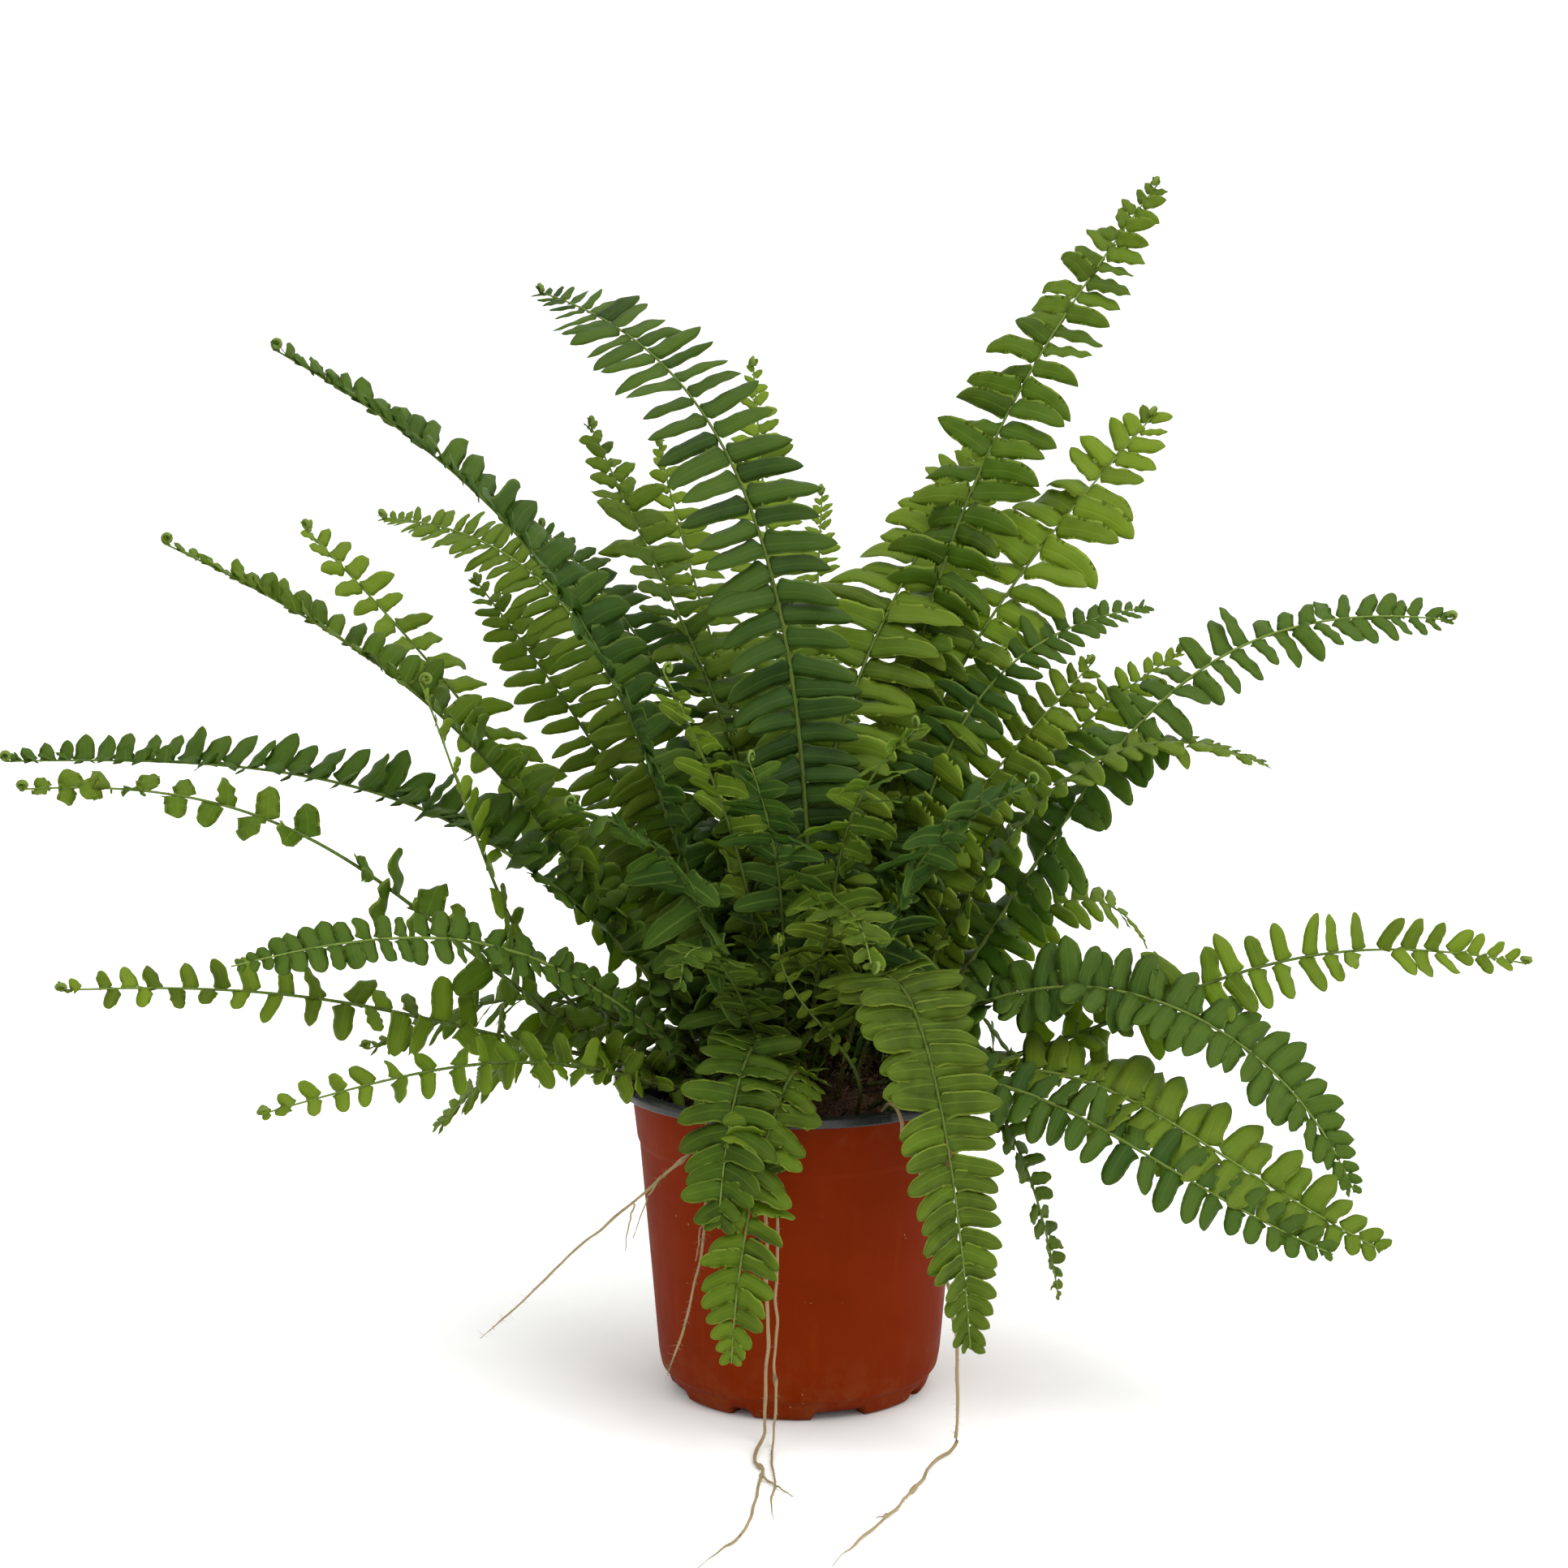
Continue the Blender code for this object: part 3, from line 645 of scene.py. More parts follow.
class Graph:
    """A material's node tree, with short ways to add what the finishes share.

    Attributes:
        material: The material.
        nodes: Its nodes.
        links: Its links.
        shader: Its Principled shader.
        output: Its output node.
        place: The piece's own coordinates.
    """

    def __init__(self, name: str) -> None:
        """Start a material with a bare Principled shader.

        Args:
            name: Name of the material.
        """
        self.material = bpy.data.materials.new(name)
        self.material.use_nodes = True
        self.nodes = self.material.node_tree.nodes
        self.links = self.material.node_tree.links
        self.shader = self.nodes["Principled BSDF"]
        self.output = self.nodes["Material Output"]
        self.place = self.nodes.new("ShaderNodeTexCoord").outputs["Object"]

    def feed(self, socket: Socket, value: Input) -> None:
        """Link a socket to another, or set it to a plain value.

        Args:
            socket: The input to fill.
            value: An output to link it to, a number or a colour.
        """
        if isinstance(value, bpy.types.NodeSocket):
            self.links.new(value, socket)
        elif isinstance(value, tuple) and len(value) == 3 and socket.type == 'RGBA':
            socket.default_value = (*value, 1.0)
        else:
            socket.default_value = value

    def value(self, name: str) -> Socket:
        """Read one of the mesh's named values.

        Args:
            name: Name of the value.

        Returns:
            The number at each point of the piece.
        """
        node = self.nodes.new("ShaderNodeAttribute")
        node.attribute_name = name
        return node.outputs["Fac"]

    def math(self, operation: str, first: Input, second: Input = 0.0) -> Socket:
        """Work out one number from one or two.

        Args:
            operation: What the math node does.
            first: First number.
            second: Second number.

        Returns:
            The result.
        """
        node = self.nodes.new("ShaderNodeMath")
        node.operation = operation
        self.feed(node.inputs[0], first)
        self.feed(node.inputs[1], second)
        return node.outputs["Value"]

    def ramp(self, value: Input, low: float, high: float, start: float = 0.0,
             end: float = 1.0) -> Socket:
        """Map a number from one range to another, smoothly and without overshoot.

        Args:
            value: The number.
            low: Where it begins to change.
            high: Where it stops changing, which may be below low.
            start: Result at low.
            end: Result at high.

        Returns:
            The result.
        """
        node = self.nodes.new("ShaderNodeMapRange")
        node.interpolation_type = 'SMOOTHSTEP'
        for label, item in (("Value", value), ("From Min", low), ("From Max", high),
                            ("To Min", start), ("To Max", end)):
            self.feed(node.inputs[label], item)
        return node.outputs["Result"]

    def mix(self, share: Input, first: Input, second: Input) -> Socket:
        """Blend two colours.

        Args:
            share: Share of the second colour, from 0 to 1.
            first: First colour.
            second: Second colour.

        Returns:
            The blended colour.
        """
        node = self.nodes.new("ShaderNodeMix")
        node.data_type = 'RGBA'
        for label, item in (("Factor_Float", share), ("A_Color", first), ("B_Color", second)):
            socket = next(each for each in node.inputs if each.identifier == label)
            self.feed(socket, item)
        return next(each for each in node.outputs if each.identifier == "Result_Color")

    def noise(self, scale: float, detail: float = 2.0, rough: float = 0.5,
              place: Socket | None = None) -> Socket:
        """Cloudy noise over the piece.

        Args:
            scale: How fine it is, in clouds for each metre.
            detail: Number of finer layers.
            rough: How strong the finer layers are.
            place: Coordinates, if not the piece's own.

        Returns:
            Numbers from 0 to 1.
        """
        node = self.nodes.new("ShaderNodeTexNoise")
        self.links.new(place or self.place, node.inputs["Vector"])
        node.inputs["Scale"].default_value = scale
        node.inputs["Detail"].default_value = detail
        node.inputs["Roughness"].default_value = rough
        return node.outputs["Fac"]

    def cells(self, scale: float) -> Socket:
        """Distance to the nearest of many points scattered through the piece.

        Args:
            scale: Number of points for each metre.

        Returns:
            The distance, as a share of the points' spacing.
        """
        node = self.nodes.new("ShaderNodeTexVoronoi")
        self.links.new(self.place, node.inputs["Vector"])
        node.inputs["Scale"].default_value = scale
        return node.outputs["Distance"]

    def stretched(self, scale: tuple[float, float, float]) -> Socket:
        """Scale the piece's coordinates apart along each axis.

        Args:
            scale: Scale along X, Y and Z.

        Returns:
            The scaled coordinates.
        """
        node = self.nodes.new("ShaderNodeMapping")
        self.links.new(self.place, node.inputs["Vector"])
        node.inputs["Scale"].default_value = scale
        return node.outputs["Vector"]

    def bump(self, height: Socket, depth: float, strength: float = 1.0) -> None:
        """Raise the surface.

        Args:
            height: Height at each place, from 0 to 1.
            depth: Rise at height 1, in metres.
            strength: Share of it that shows.
        """
        node = self.nodes.new("ShaderNodeBump")
        node.inputs["Strength"].default_value = strength
        node.inputs["Distance"].default_value = depth
        self.links.new(height, node.inputs["Height"])
        self.links.new(node.outputs["Normal"], self.shader.inputs["Normal"])

    def dress(self, color: Input, roughness: Input, gloss: float = 0.5) -> None:
        """Set the shader's looks.

        Args:
            color: Its colour.
            roughness: Its roughness.
            gloss: Its specular level.
        """
        self.feed(self.shader.inputs["Base Color"], color)
        self.feed(self.shader.inputs["Roughness"], roughness)
        self.shader.inputs["Specular IOR Level"].default_value = gloss


@dataclass(frozen=True)
class LeafFinish:
    """Skin of a leaflet: toned, veined, paler at the midrib and margin, and a little see-through.

    Attributes:
        name: Material name.
        base: Linear colour of a grown leaflet.
        young: Linear colour towards the frond's tip.
        glow: Linear colour of light that comes through.
        through: Share of light that goes through each skin.
        side: Which face of the leaflet this skin covers.
    """

    name: str
    base: Color
    young: Color
    glow: Color
    through: float = 0.36
    side: Side = Side.UPPER

    def build(self) -> bpy.types.Material:
        """Make the material.

        Returns:
            The material.
        """
        under = self.side is Side.UNDER
        graph = Graph(self.name)
        along = graph.value("along")
        across = graph.value("across")
        tint = graph.value("tint")
        age = graph.value("age")
        off_rib = graph.math('ABSOLUTE', across)
        color = graph.mix(graph.ramp(age, 0.55, 1.0), self.base, self.young)
        deep = tuple(part * 0.55 for part in self.base)
        color = graph.mix(graph.ramp(age, 0.30, -0.05), color, deep)
        color = graph.mix(graph.ramp(tint, 0.45, 1.0, 0.0, 0.75), color, self.young)
        color = graph.mix(graph.ramp(tint, 0.45, 0.0, 0.0, 0.8), color, deep)
        color = graph.mix(graph.ramp(along, 0.35, 1.0, 0.0, 0.30), color, self.young)
        color = graph.mix(graph.ramp(along, 0.22, 0.0, 0.0, 0.35), color, deep)
        cloud = graph.noise(160.0, 3.0, 0.6)
        color = graph.mix(graph.ramp(cloud, 0.35, 0.7, 0.0, 0.35), color,
                          tuple(part * 1.5 for part in self.base))
        slant = graph.math('SUBTRACT', graph.math('MULTIPLY', along, 21.0),
                           graph.math('MULTIPLY', off_rib, 2.4))
        vein = graph.ramp(graph.math('ABSOLUTE', graph.math('SINE', graph.math(
            'MULTIPLY', slant, math.pi))), 0.30, 0.0)
        rib = graph.ramp(off_rib, 0.13 if under else 0.09, 0.02)
        pale = tuple(min(1.0, part * 1.9 + 0.02) for part in self.young)
        color = graph.mix(graph.math('MULTIPLY', vein, 0.22 if under else 0.10), color, pale)
        color = graph.mix(graph.math('MULTIPLY', rib, 0.50 if under else 0.16), color, pale)
        rim = graph.ramp(off_rib, 0.76, 0.92)
        color = graph.mix(graph.math('MULTIPLY', rim, 0.75), color, pale)
        roughness = graph.ramp(graph.noise(420.0, 2.0), 0.3, 0.7, 0.42, 0.58)
        if under:
            roughness = graph.ramp(graph.noise(420.0, 2.0), 0.3, 0.7, 0.55, 0.7)
        graph.dress(color, roughness, 0.07 if under else 0.12)
        grain = graph.math('MULTIPLY', graph.noise(900.0, 2.0), 0.35)
        relief = graph.math('ADD', graph.math('MULTIPLY', vein, 0.7 if under else -0.5), grain)
        relief = graph.math('ADD', relief, graph.math('MULTIPLY', rib, 1.0 if under else -0.9))
        graph.bump(relief, 0.00022, 0.6)
        glow = graph.nodes.new("ShaderNodeBsdfTranslucent")
        lit = graph.mix(graph.math('MULTIPLY', vein, 0.25), self.glow, pale)
        lit = graph.mix(graph.ramp(tint, 0.45, 0.0, 0.0, 0.8), lit,
                        tuple(part * 0.6 for part in self.glow))
        graph.feed(glow.inputs["Color"], lit)
        both = graph.nodes.new("ShaderNodeMixShader")
        both.inputs["Fac"].default_value = self.through
        graph.links.new(graph.shader.outputs["BSDF"], both.inputs[1])
        graph.links.new(glow.outputs["BSDF"], both.inputs[2])
        graph.links.new(both.outputs["Shader"], graph.output.inputs["Surface"])
        return graph.material


@dataclass(frozen=True)
class RachisFinish:
    """Stalk skin: brown and ribbed at the crown, green further out and pale at the tip."""

    name: str = "rachis_skin"
    green: Color = (0.042, 0.066, 0.010)
    young: Color = (0.150, 0.215, 0.040)
    brown: Color = (0.034, 0.017, 0.007)

    def build(self) -> bpy.types.Material:
        """Make the material.

        Returns:
            The material.
        """
        graph = Graph(self.name)
        age = graph.value("age")
        streak = graph.noise(700.0, 3.0, 0.6, graph.stretched((1.0, 1.0, 0.15)))
        color = graph.mix(graph.ramp(age, 0.45, 1.0, 0.0, 0.75), self.green, self.young)
        color = graph.mix(graph.ramp(graph.value("tint"), 0.5, 1.0, 0.0, 0.6), color, self.young)
        color = graph.mix(graph.ramp(age, 0.02, 0.30), self.brown, color)
        color = graph.mix(graph.ramp(streak, 0.35, 0.7, 0.0, 0.5), color,
                          tuple(part * 2.2 for part in self.green))
        freckle = graph.ramp(graph.cells(1500.0), 0.25, 0.12, 0.0, 0.5)
        color = graph.mix(freckle, color, self.brown)
        graph.dress(color, graph.ramp(streak, 0.3, 0.7, 0.55, 0.7), 0.08)
        graph.bump(streak, 0.0003, 0.7)
        return graph.material


@dataclass(frozen=True)
class ScaleFinish:
    """Thin papery scale or dry hair."""

    name: str = "dry_scale"
    base: Color = (0.070, 0.030, 0.012)
    pale: Color = (0.210, 0.115, 0.050)

    def build(self) -> bpy.types.Material:
        """Make the material.

        Returns:
            The material.
        """
        graph = Graph(self.name)
        color = graph.mix(graph.value("tint"), self.base, self.pale)
        color = graph.mix(graph.ramp(graph.noise(1200.0), 0.4, 0.7, 0.0, 0.5), color, self.base)
        graph.dress(color, graph.ramp(graph.noise(800.0), 0.3, 0.7, 0.6, 0.8), 0.2)
        return graph.material


@dataclass(frozen=True)
class TerracottaFinish:
    """Satin terracotta plastic with a soft mottle, fine scuffs, dust and a few pale specks."""

    name: str = "terracotta_plastic"
    base: Color = (0.158, 0.0150, 0.0002)
    worn: Color = (0.195, 0.0245, 0.0012)
    dust: Color = (0.180, 0.048, 0.014)
    speck: Color = (0.42, 0.30, 0.20)

    def build(self) -> bpy.types.Material:
        """Make the material.

        Returns:
            The material.
        """
        graph = Graph(self.name)
        height = graph.value("height")
        mottle = graph.noise(38.0, 5.0, 0.6)
        color = graph.mix(graph.ramp(mottle, 0.3, 0.75, 0.0, 0.28), self.base,
                          tuple(part * 0.62 for part in self.base))
        drawn = graph.noise(220.0, 3.0, 0.65, graph.stretched((1.0, 1.0, 0.10)))
        color = graph.mix(graph.ramp(drawn, 0.52, 0.8, 0.0, 0.35), color, self.worn)
        low = graph.math('MULTIPLY', graph.ramp(height, 0.030, 0.002),
                         graph.ramp(graph.noise(90.0, 4.0, 0.7), 0.40, 0.68))
        color = graph.mix(graph.math('MULTIPLY', low, 0.5), color, self.dust)
        high = graph.math('MULTIPLY', graph.ramp(height, 0.080, 0.103),
                          graph.ramp(graph.noise(60.0, 4.0, 0.7), 0.48, 0.7))
        color = graph.mix(graph.math('MULTIPLY', high, 0.35), color, self.dust)
        speck = graph.math('MULTIPLY', graph.ramp(graph.cells(240.0), 0.10, 0.05),
                           graph.ramp(graph.noise(75.0, 1.0), 0.60, 0.66))
        color = graph.mix(graph.math('MULTIPLY', speck, 0.35), color, self.speck)
        graph.dress(color, graph.ramp(mottle, 0.3, 0.7, 0.48, 0.60), 0.03)
        relief = graph.math('ADD', graph.math('MULTIPLY', drawn, 0.6),
                            graph.math('MULTIPLY', graph.noise(1400.0, 2.0), 0.4))
        graph.bump(relief, 0.00025, 0.55)
        return graph.material


@dataclass(frozen=True)
class BlackLinerFinish:
    """Gloss black plastic with dried water marks and peat dust."""

    name: str = "black_liner"
    base: Color = (0.012, 0.013, 0.015)
    dust: Color = (0.055, 0.048, 0.042)
    peat: Color = (0.035, 0.024, 0.016)

    def build(self) -> bpy.types.Material:
        """Make the material.

        Returns:
            The material.
        """
        graph = Graph(self.name)
        marks = graph.noise(120.0, 5.0, 0.7)
        color = graph.mix(graph.ramp(marks, 0.45, 0.75, 0.0, 0.55), self.base, self.dust)
        crumbs = graph.ramp(graph.cells(900.0), 0.22, 0.12)
        soiled = graph.math('MULTIPLY', crumbs, graph.ramp(graph.noise(45.0), 0.5, 0.62))
        color = graph.mix(soiled, color, self.peat)
        graph.dress(color, graph.ramp(marks, 0.35, 0.7, 0.24, 0.46), 0.36)
        graph.bump(graph.noise(700.0, 2.0), 0.0002, 0.35)
        return graph.material


@dataclass(frozen=True)
class PeatFinish:
    """Damp peat: nearly black, with fibres and lighter crumbs."""

    name: str = "damp_peat"
    dark: Color = (0.007, 0.005, 0.004)
    light: Color = (0.046, 0.029, 0.018)
    fibre: Color = (0.160, 0.095, 0.050)

    def build(self) -> bpy.types.Material:
        """Make the material.

        Returns:
            The material.
        """
        graph = Graph(self.name)
        grain = graph.noise(900.0, 6.0, 0.75)
        color = graph.mix(graph.ramp(grain, 0.42, 0.75), self.dark, self.light)
        color = graph.mix(graph.ramp(graph.value("tint"), 0.6, 1.0, 0.0, 0.7), color, self.light)
        fibre = graph.ramp(graph.noise(380.0, 3.0, 0.8, graph.stretched((1.0, 0.12, 1.0))),
                           0.62, 0.70)
        color = graph.mix(graph.math('MULTIPLY', fibre, 0.6), color, self.fibre)
        graph.dress(color, graph.ramp(grain, 0.3, 0.7, 0.65, 0.95), 0.25)
        graph.bump(grain, 0.0012, 0.9)
        return graph.material


@dataclass(frozen=True)
class RhizomeFinish:
    """Brown woody crown, with painted shade in dark spots that stand for pits."""

    name: str = "rhizome_skin"
    base: Color = (0.030, 0.016, 0.008)
    pale: Color = (0.085, 0.052, 0.026)
    pit_shade: Color = (0.018, 0.010, 0.006)

    def build(self) -> bpy.types.Material:
        """Make the material.

        Returns:
            The material.
        """
        graph = Graph(self.name)
        bark = graph.noise(300.0, 5.0, 0.7)
        color = graph.mix(graph.ramp(bark, 0.4, 0.72), self.base, self.pale)
        # Dark spots: painted shade of pits, which the surface itself does not have.
        pit_shade_mask = graph.ramp(graph.cells(420.0), 0.30, 0.10)
        color = graph.mix(graph.math('MULTIPLY', pit_shade_mask, 0.7), color, self.pit_shade)
        graph.dress(color, graph.ramp(bark, 0.3, 0.7, 0.6, 0.9), 0.2)
        graph.bump(bark, 0.0015, 0.8)
        return graph.material


@dataclass(frozen=True)
class RunnerFinish:
    """Dry tan runner: straw coloured, with green and brown stretches and fine length-wise lines."""

    name: str = "runner_skin"
    straw: Color = (0.270, 0.195, 0.095)
    green: Color = (0.170, 0.165, 0.055)
    brown: Color = (0.110, 0.062, 0.030)

    def build(self) -> bpy.types.Material:
        """Make the material.

        Returns:
            The material.
        """
        graph = Graph(self.name)
        patch = graph.noise(55.0, 3.0, 0.6)
        color = graph.mix(graph.ramp(patch, 0.5, 0.72), self.straw, self.green)
        color = graph.mix(graph.ramp(graph.noise(160.0, 4.0, 0.7), 0.55, 0.75), color, self.brown)
        line = graph.noise(1600.0, 2.0, 0.6)
        color = graph.mix(graph.ramp(line, 0.5, 0.8, 0.0, 0.4), color,
                          tuple(part * 1.4 for part in self.straw))
        graph.dress(color, graph.ramp(line, 0.3, 0.7, 0.55, 0.75), 0.3)
        graph.bump(line, 0.0003, 0.6)
        return graph.material


@dataclass(frozen=True)
class FloorFinish:
    """Plain pale floor with the faintest mottle."""

    name: str = "pale_floor"
    base: Color = (0.945, 0.950, 0.942)

    def build(self) -> bpy.types.Material:
        """Make the material.

        Returns:
            The material.
        """
        graph = Graph(self.name)
        shade = tuple(part * 0.985 for part in self.base)
        color = graph.mix(graph.ramp(graph.noise(40.0, 4.0), 0.3, 0.7), self.base, shade)
        graph.dress(color, graph.ramp(graph.noise(25.0), 0.3, 0.7, 0.8, 0.9), 0.1)
        return graph.material


# ---- Pot ----


def turned_points(profile: np.ndarray, steps: int) -> np.ndarray:
    """Turn a profile about Z.

    Args:
        profile: The profile's (radius, height) points.
        steps: Number of turned copies.

    Returns:
        Points, shaped (steps, profile points, 3).
    """
    turns = np.linspace(0, 2 * math.pi, steps, endpoint=False)[:, None]
    radius, height = profile[None, :, 0], profile[None, :, 1]
    return np.stack([np.cos(turns) * radius, np.sin(turns) * radius,
                     np.broadcast_to(height, (steps, profile.shape[0]))], axis=-1)


def rounded(corners: Sequence[tuple[float, float, float]], steps: int = 5) -> np.ndarray:
    """Round off the corners of a profile.

    Args:
        corners: (radius, height, rounding) of each corner, rounding 0 for a sharp one.
        steps: Points on each rounded corner.

    Returns:
        The profile's (radius, height) points.
    """
    places = np.array([corner[:2] for corner in corners], float)
    line = []
    for index, (_, _, rounding) in enumerate(corners):
        here = places[index]
        if rounding == 0 or index in (0, len(corners) - 1):
            line.append(here)
            continue
        back = places[index - 1] - here
        ahead = places[index + 1] - here
        cut = min(rounding, np.linalg.norm(back) * 0.49, np.linalg.norm(ahead) * 0.49)
        start = here + unit(back) * cut
        end = here + unit(ahead) * cut
        for share in np.linspace(0, 1, steps):
            line.append((1 - share) ** 2 * start + 2 * share * (1 - share) * here
                        + share ** 2 * end)
    return np.array(line)


@dataclass(frozen=True)
class NurseryPot:
    """Thermoformed pot: one sheet with a turned-down lip, a collar and a scalloped foot.

    Attributes:
        wall: Thickness of the sheet.
        lip_drop: Height of the lip's turned-down edge.
        collar_top: Radius of the collar under the lip.
        collar_foot: Radius of the collar at its step.
        collar_height: Height of the step.
        step: How far the body is set back under the collar.
        body_foot: Radius of the body above the foot's curve.
        body_height: Height at which the foot's curve begins.
        foot: Outer and inner radius of the foot ring.
        pad: Radius of the pad in the middle of the underside.
        channel: Height of the drain channel, and of the notches.
        notch_turn: Bearing of the first notch.
        notch_widths: Widths of the notches, wide and narrow in turn.
        notch_count: Number of notches.
        shoulder: Width of a notch's sloping side.
        turns: Steps round the pot.
        swells: Size, number round the pot and phase of each unevenness of the wall.
    """

    wall: float = 1.0 * MM
    lip_drop: float = 3.0 * MM
    collar_top: float = 54.2 * MM
    collar_foot: float = 52.4 * MM
    collar_height: float = 84 * MM
    step: float = 0.7 * MM
    body_foot: float = 45.8 * MM
    body_height: float = 12 * MM
    foot: tuple[float, float] = (40 * MM, 35 * MM)
    pad: float = 13 * MM
    channel: float = 3.2 * MM
    notch_turn: float = -72.0
    notch_widths: tuple[float, float] = (15 * MM, 5 * MM)
    notch_count: int = 8
    shoulder: float = 1.6 * MM
    turns: int = 288
    swells: tuple[tuple[float, int, float], ...] = ((0.18 * MM, 2, 0.7), (0.10 * MM, 3, 2.0))

    @property
    def height(self) -> float:
        """Height of the pot in the frame."""
        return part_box("pot")[1].z

    @property
    def lip(self) -> float:
        """Greatest radius of the pot in the frame."""
        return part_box("pot")[1].x

    def outer_radius(self, height: np.ndarray | float) -> np.ndarray | float:
        """Find how far out the wall reaches.

        Args:
            height: Height, one or many.

        Returns:
            Radius of the wall's outside at each height.
        """
        under_lip = self.height - self.lip_drop - 0.5 * MM
        heights = [0, self.body_height, self.collar_height - 1.2 * MM, self.collar_height,
                   under_lip, under_lip + 0.1 * MM]
        radii = [self.foot[0] + 2 * MM, self.body_foot, self.collar_foot - self.step,
                 self.collar_foot, self.collar_top, self.lip]
        return np.interp(height, heights, radii)

    def under_profile(self) -> np.ndarray:
        """Draw the terracotta side, from the lip's edge down to the middle of the pad.

        Returns:
            The (radius, height) points.
        """
        flange = self.height - self.wall
        skirt = self.lip - self.wall
        lean = (self.collar_foot - self.step - self.body_foot) / (
            self.collar_height - self.body_height)
        crease = self.body_height * 0.62
        corners = [
            (skirt, self.height - self.lip_drop, 0),
            (skirt, flange, 0.7 * MM),
            (self.collar_top + 1.2 * MM, flange, 0.8 * MM),
            (self.collar_top + 0.1 * MM, flange - 3.0 * MM, 1.5 * MM),
            (self.collar_foot, self.collar_height, 0.7 * MM),
            (self.collar_foot - self.step, self.collar_height - 1.4 * MM, 0.6 * MM),
            (self.body_foot + lean * 22 * MM, self.body_height + 22 * MM, 0),
            (self.body_foot, self.body_height, 2.0 * MM),
            (self.body_foot - 0.9 * MM, crease, 1.2 * MM),
            (self.body_foot - 2.3 * MM, crease - 1.2 * MM, 1.2 * MM),
            (self.foot[0] + 1.6 * MM, 1.0 * MM, 1.4 * MM),
            (self.foot[0], 0.0, 0.8 * MM),
            (self.foot[1], 0.0, 0.8 * MM),
            (self.foot[1] - 1.8 * MM, self.channel, 1.0 * MM),
            (self.pad + 1.8 * MM, self.channel, 1.0 * MM),
            (self.pad, 0.0, 0.8 * MM),
            (3 * MM, 0.0, 0),
            (0.02 * MM, 0.0, 0),
        ]
        return rounded(corners)

    def liner_profile(self) -> np.ndarray:
        """Draw the black side, from the middle of the base up and over the lip.

        Returns:
            The (radius, height) points.
        """
        floor = self.wall
        inner = self.height - self.wall
        corners = [
            (0.02 * MM, floor, 0),
            (self.pad - 0.5 * MM, floor, 0.8 * MM),
            (self.pad + 1.0 * MM, self.channel + floor, 1.0 * MM),
            (self.foot[1] - 1.2 * MM, self.channel + floor, 1.0 * MM),
            (self.foot[1] + 1.0 * MM, floor, 0.8 * MM),
            (self.foot[0] - 0.6 * MM, floor, 0.8 * MM),
            (self.body_foot - 2.8 * MM, self.body_height * 0.45, 1.5 * MM),
            (self.body_foot - self.wall, self.body_height, 2.0 * MM),
            (self.collar_foot - self.step - self.wall, self.collar_height - 1.4 * MM, 0.7 * MM),
            (self.collar_foot - self.wall, self.collar_height, 0.7 * MM),
            (self.collar_top - self.wall - 0.2 * MM, inner - 2.6 * MM, 1.2 * MM),
            (self.collar_top + 0.2 * MM, self.height - 0.15 * MM, 0.9 * MM),
            (self.collar_top + 2.0 * MM, self.height - 0.35 * MM, 0.4 * MM),
            (self.collar_top + 2.7 * MM, self.height, 0.4 * MM),
            (self.lip - 1.0 * MM, self.height, 0),
            (self.lip - 0.3 * MM, self.height - 0.3 * MM, 0.3 * MM),
            (self.lip, self.height - 1.0 * MM, 0.4 * MM),
            (self.lip, self.height - self.lip_drop + 0.5 * MM, 0.3 * MM),
            (self.lip - 0.4 * MM, self.height - self.lip_drop, 0.3 * MM),
            (self.lip - self.wall, self.height - self.lip_drop, 0),
        ]
        return rounded(corners)[:-1]

    def notch_lift(self, points: np.ndarray) -> np.ndarray:
        """Find how far the drain notches raise the foot ring.

        Args:
            points: Points of the sheet.

        Returns:
            The rise of each point.
        """
        bearing = np.degrees(np.arctan2(points[..., 1], points[..., 0]))
        radius = np.hypot(points[..., 0], points[..., 1])
        pitch = 360 / self.notch_count
        turn = (bearing - self.notch_turn) / pitch
        index = np.round(turn)
        off = np.abs(turn - index) * math.radians(pitch) * self.foot[0]
        wide = np.asarray(self.notch_widths)[index.astype(int) % 2]
        open_share = np.clip((wide / 2 + self.shoulder - off) / self.shoulder, 0, 1)
        ring = np.clip((radius - self.pad - 4 * MM) / (4 * MM), 0, 1)
        low = np.clip((7.5 * MM - points[..., 2]) / (5 * MM), 0, 1)
        smooth = open_share * open_share * (3 - 2 * open_share)
        rest = np.clip(self.channel - points[..., 2], 0, None)
        return smooth * ring * low * np.maximum(rest, 0.25 * self.channel * low)

    def build(self) -> bpy.types.Object:
        """Make the pot as one closed sheet with its two colours.

        Returns:
            The finished pot.
        """
        under = self.under_profile()
        grid = turned_points(np.concatenate([under, self.liner_profile()]), self.turns)
        grid[..., 2] += self.notch_lift(grid)
        points = self.uneven(grid).reshape(-1, 3)
        rows, columns = grid.shape[:2]
        faces = grid_faces(rows + 1, columns, closed=True) % len(points)
        maps = grid_map(rows + 1, columns, (0.005, 0.005, 0.99, 0.99), closed=True)
        # Black runs from the middle of the base to the lip; the last strip is terracotta again.
        first = faces[:, 0] % columns
        slots = np.where((first >= len(under) - 1) & (first < columns - 1), 1, 0)
        parts = MeshParts()
        parts.add(points, faces[:, ::-1], slots, maps[:, ::-1], height=points[:, 2])
        finishes = [TerracottaFinish().build(), BlackLinerFinish().build()]
        pot = parts.to_object("nursery_pot", finishes)
        return place(pot, Slot.POT, "pot")

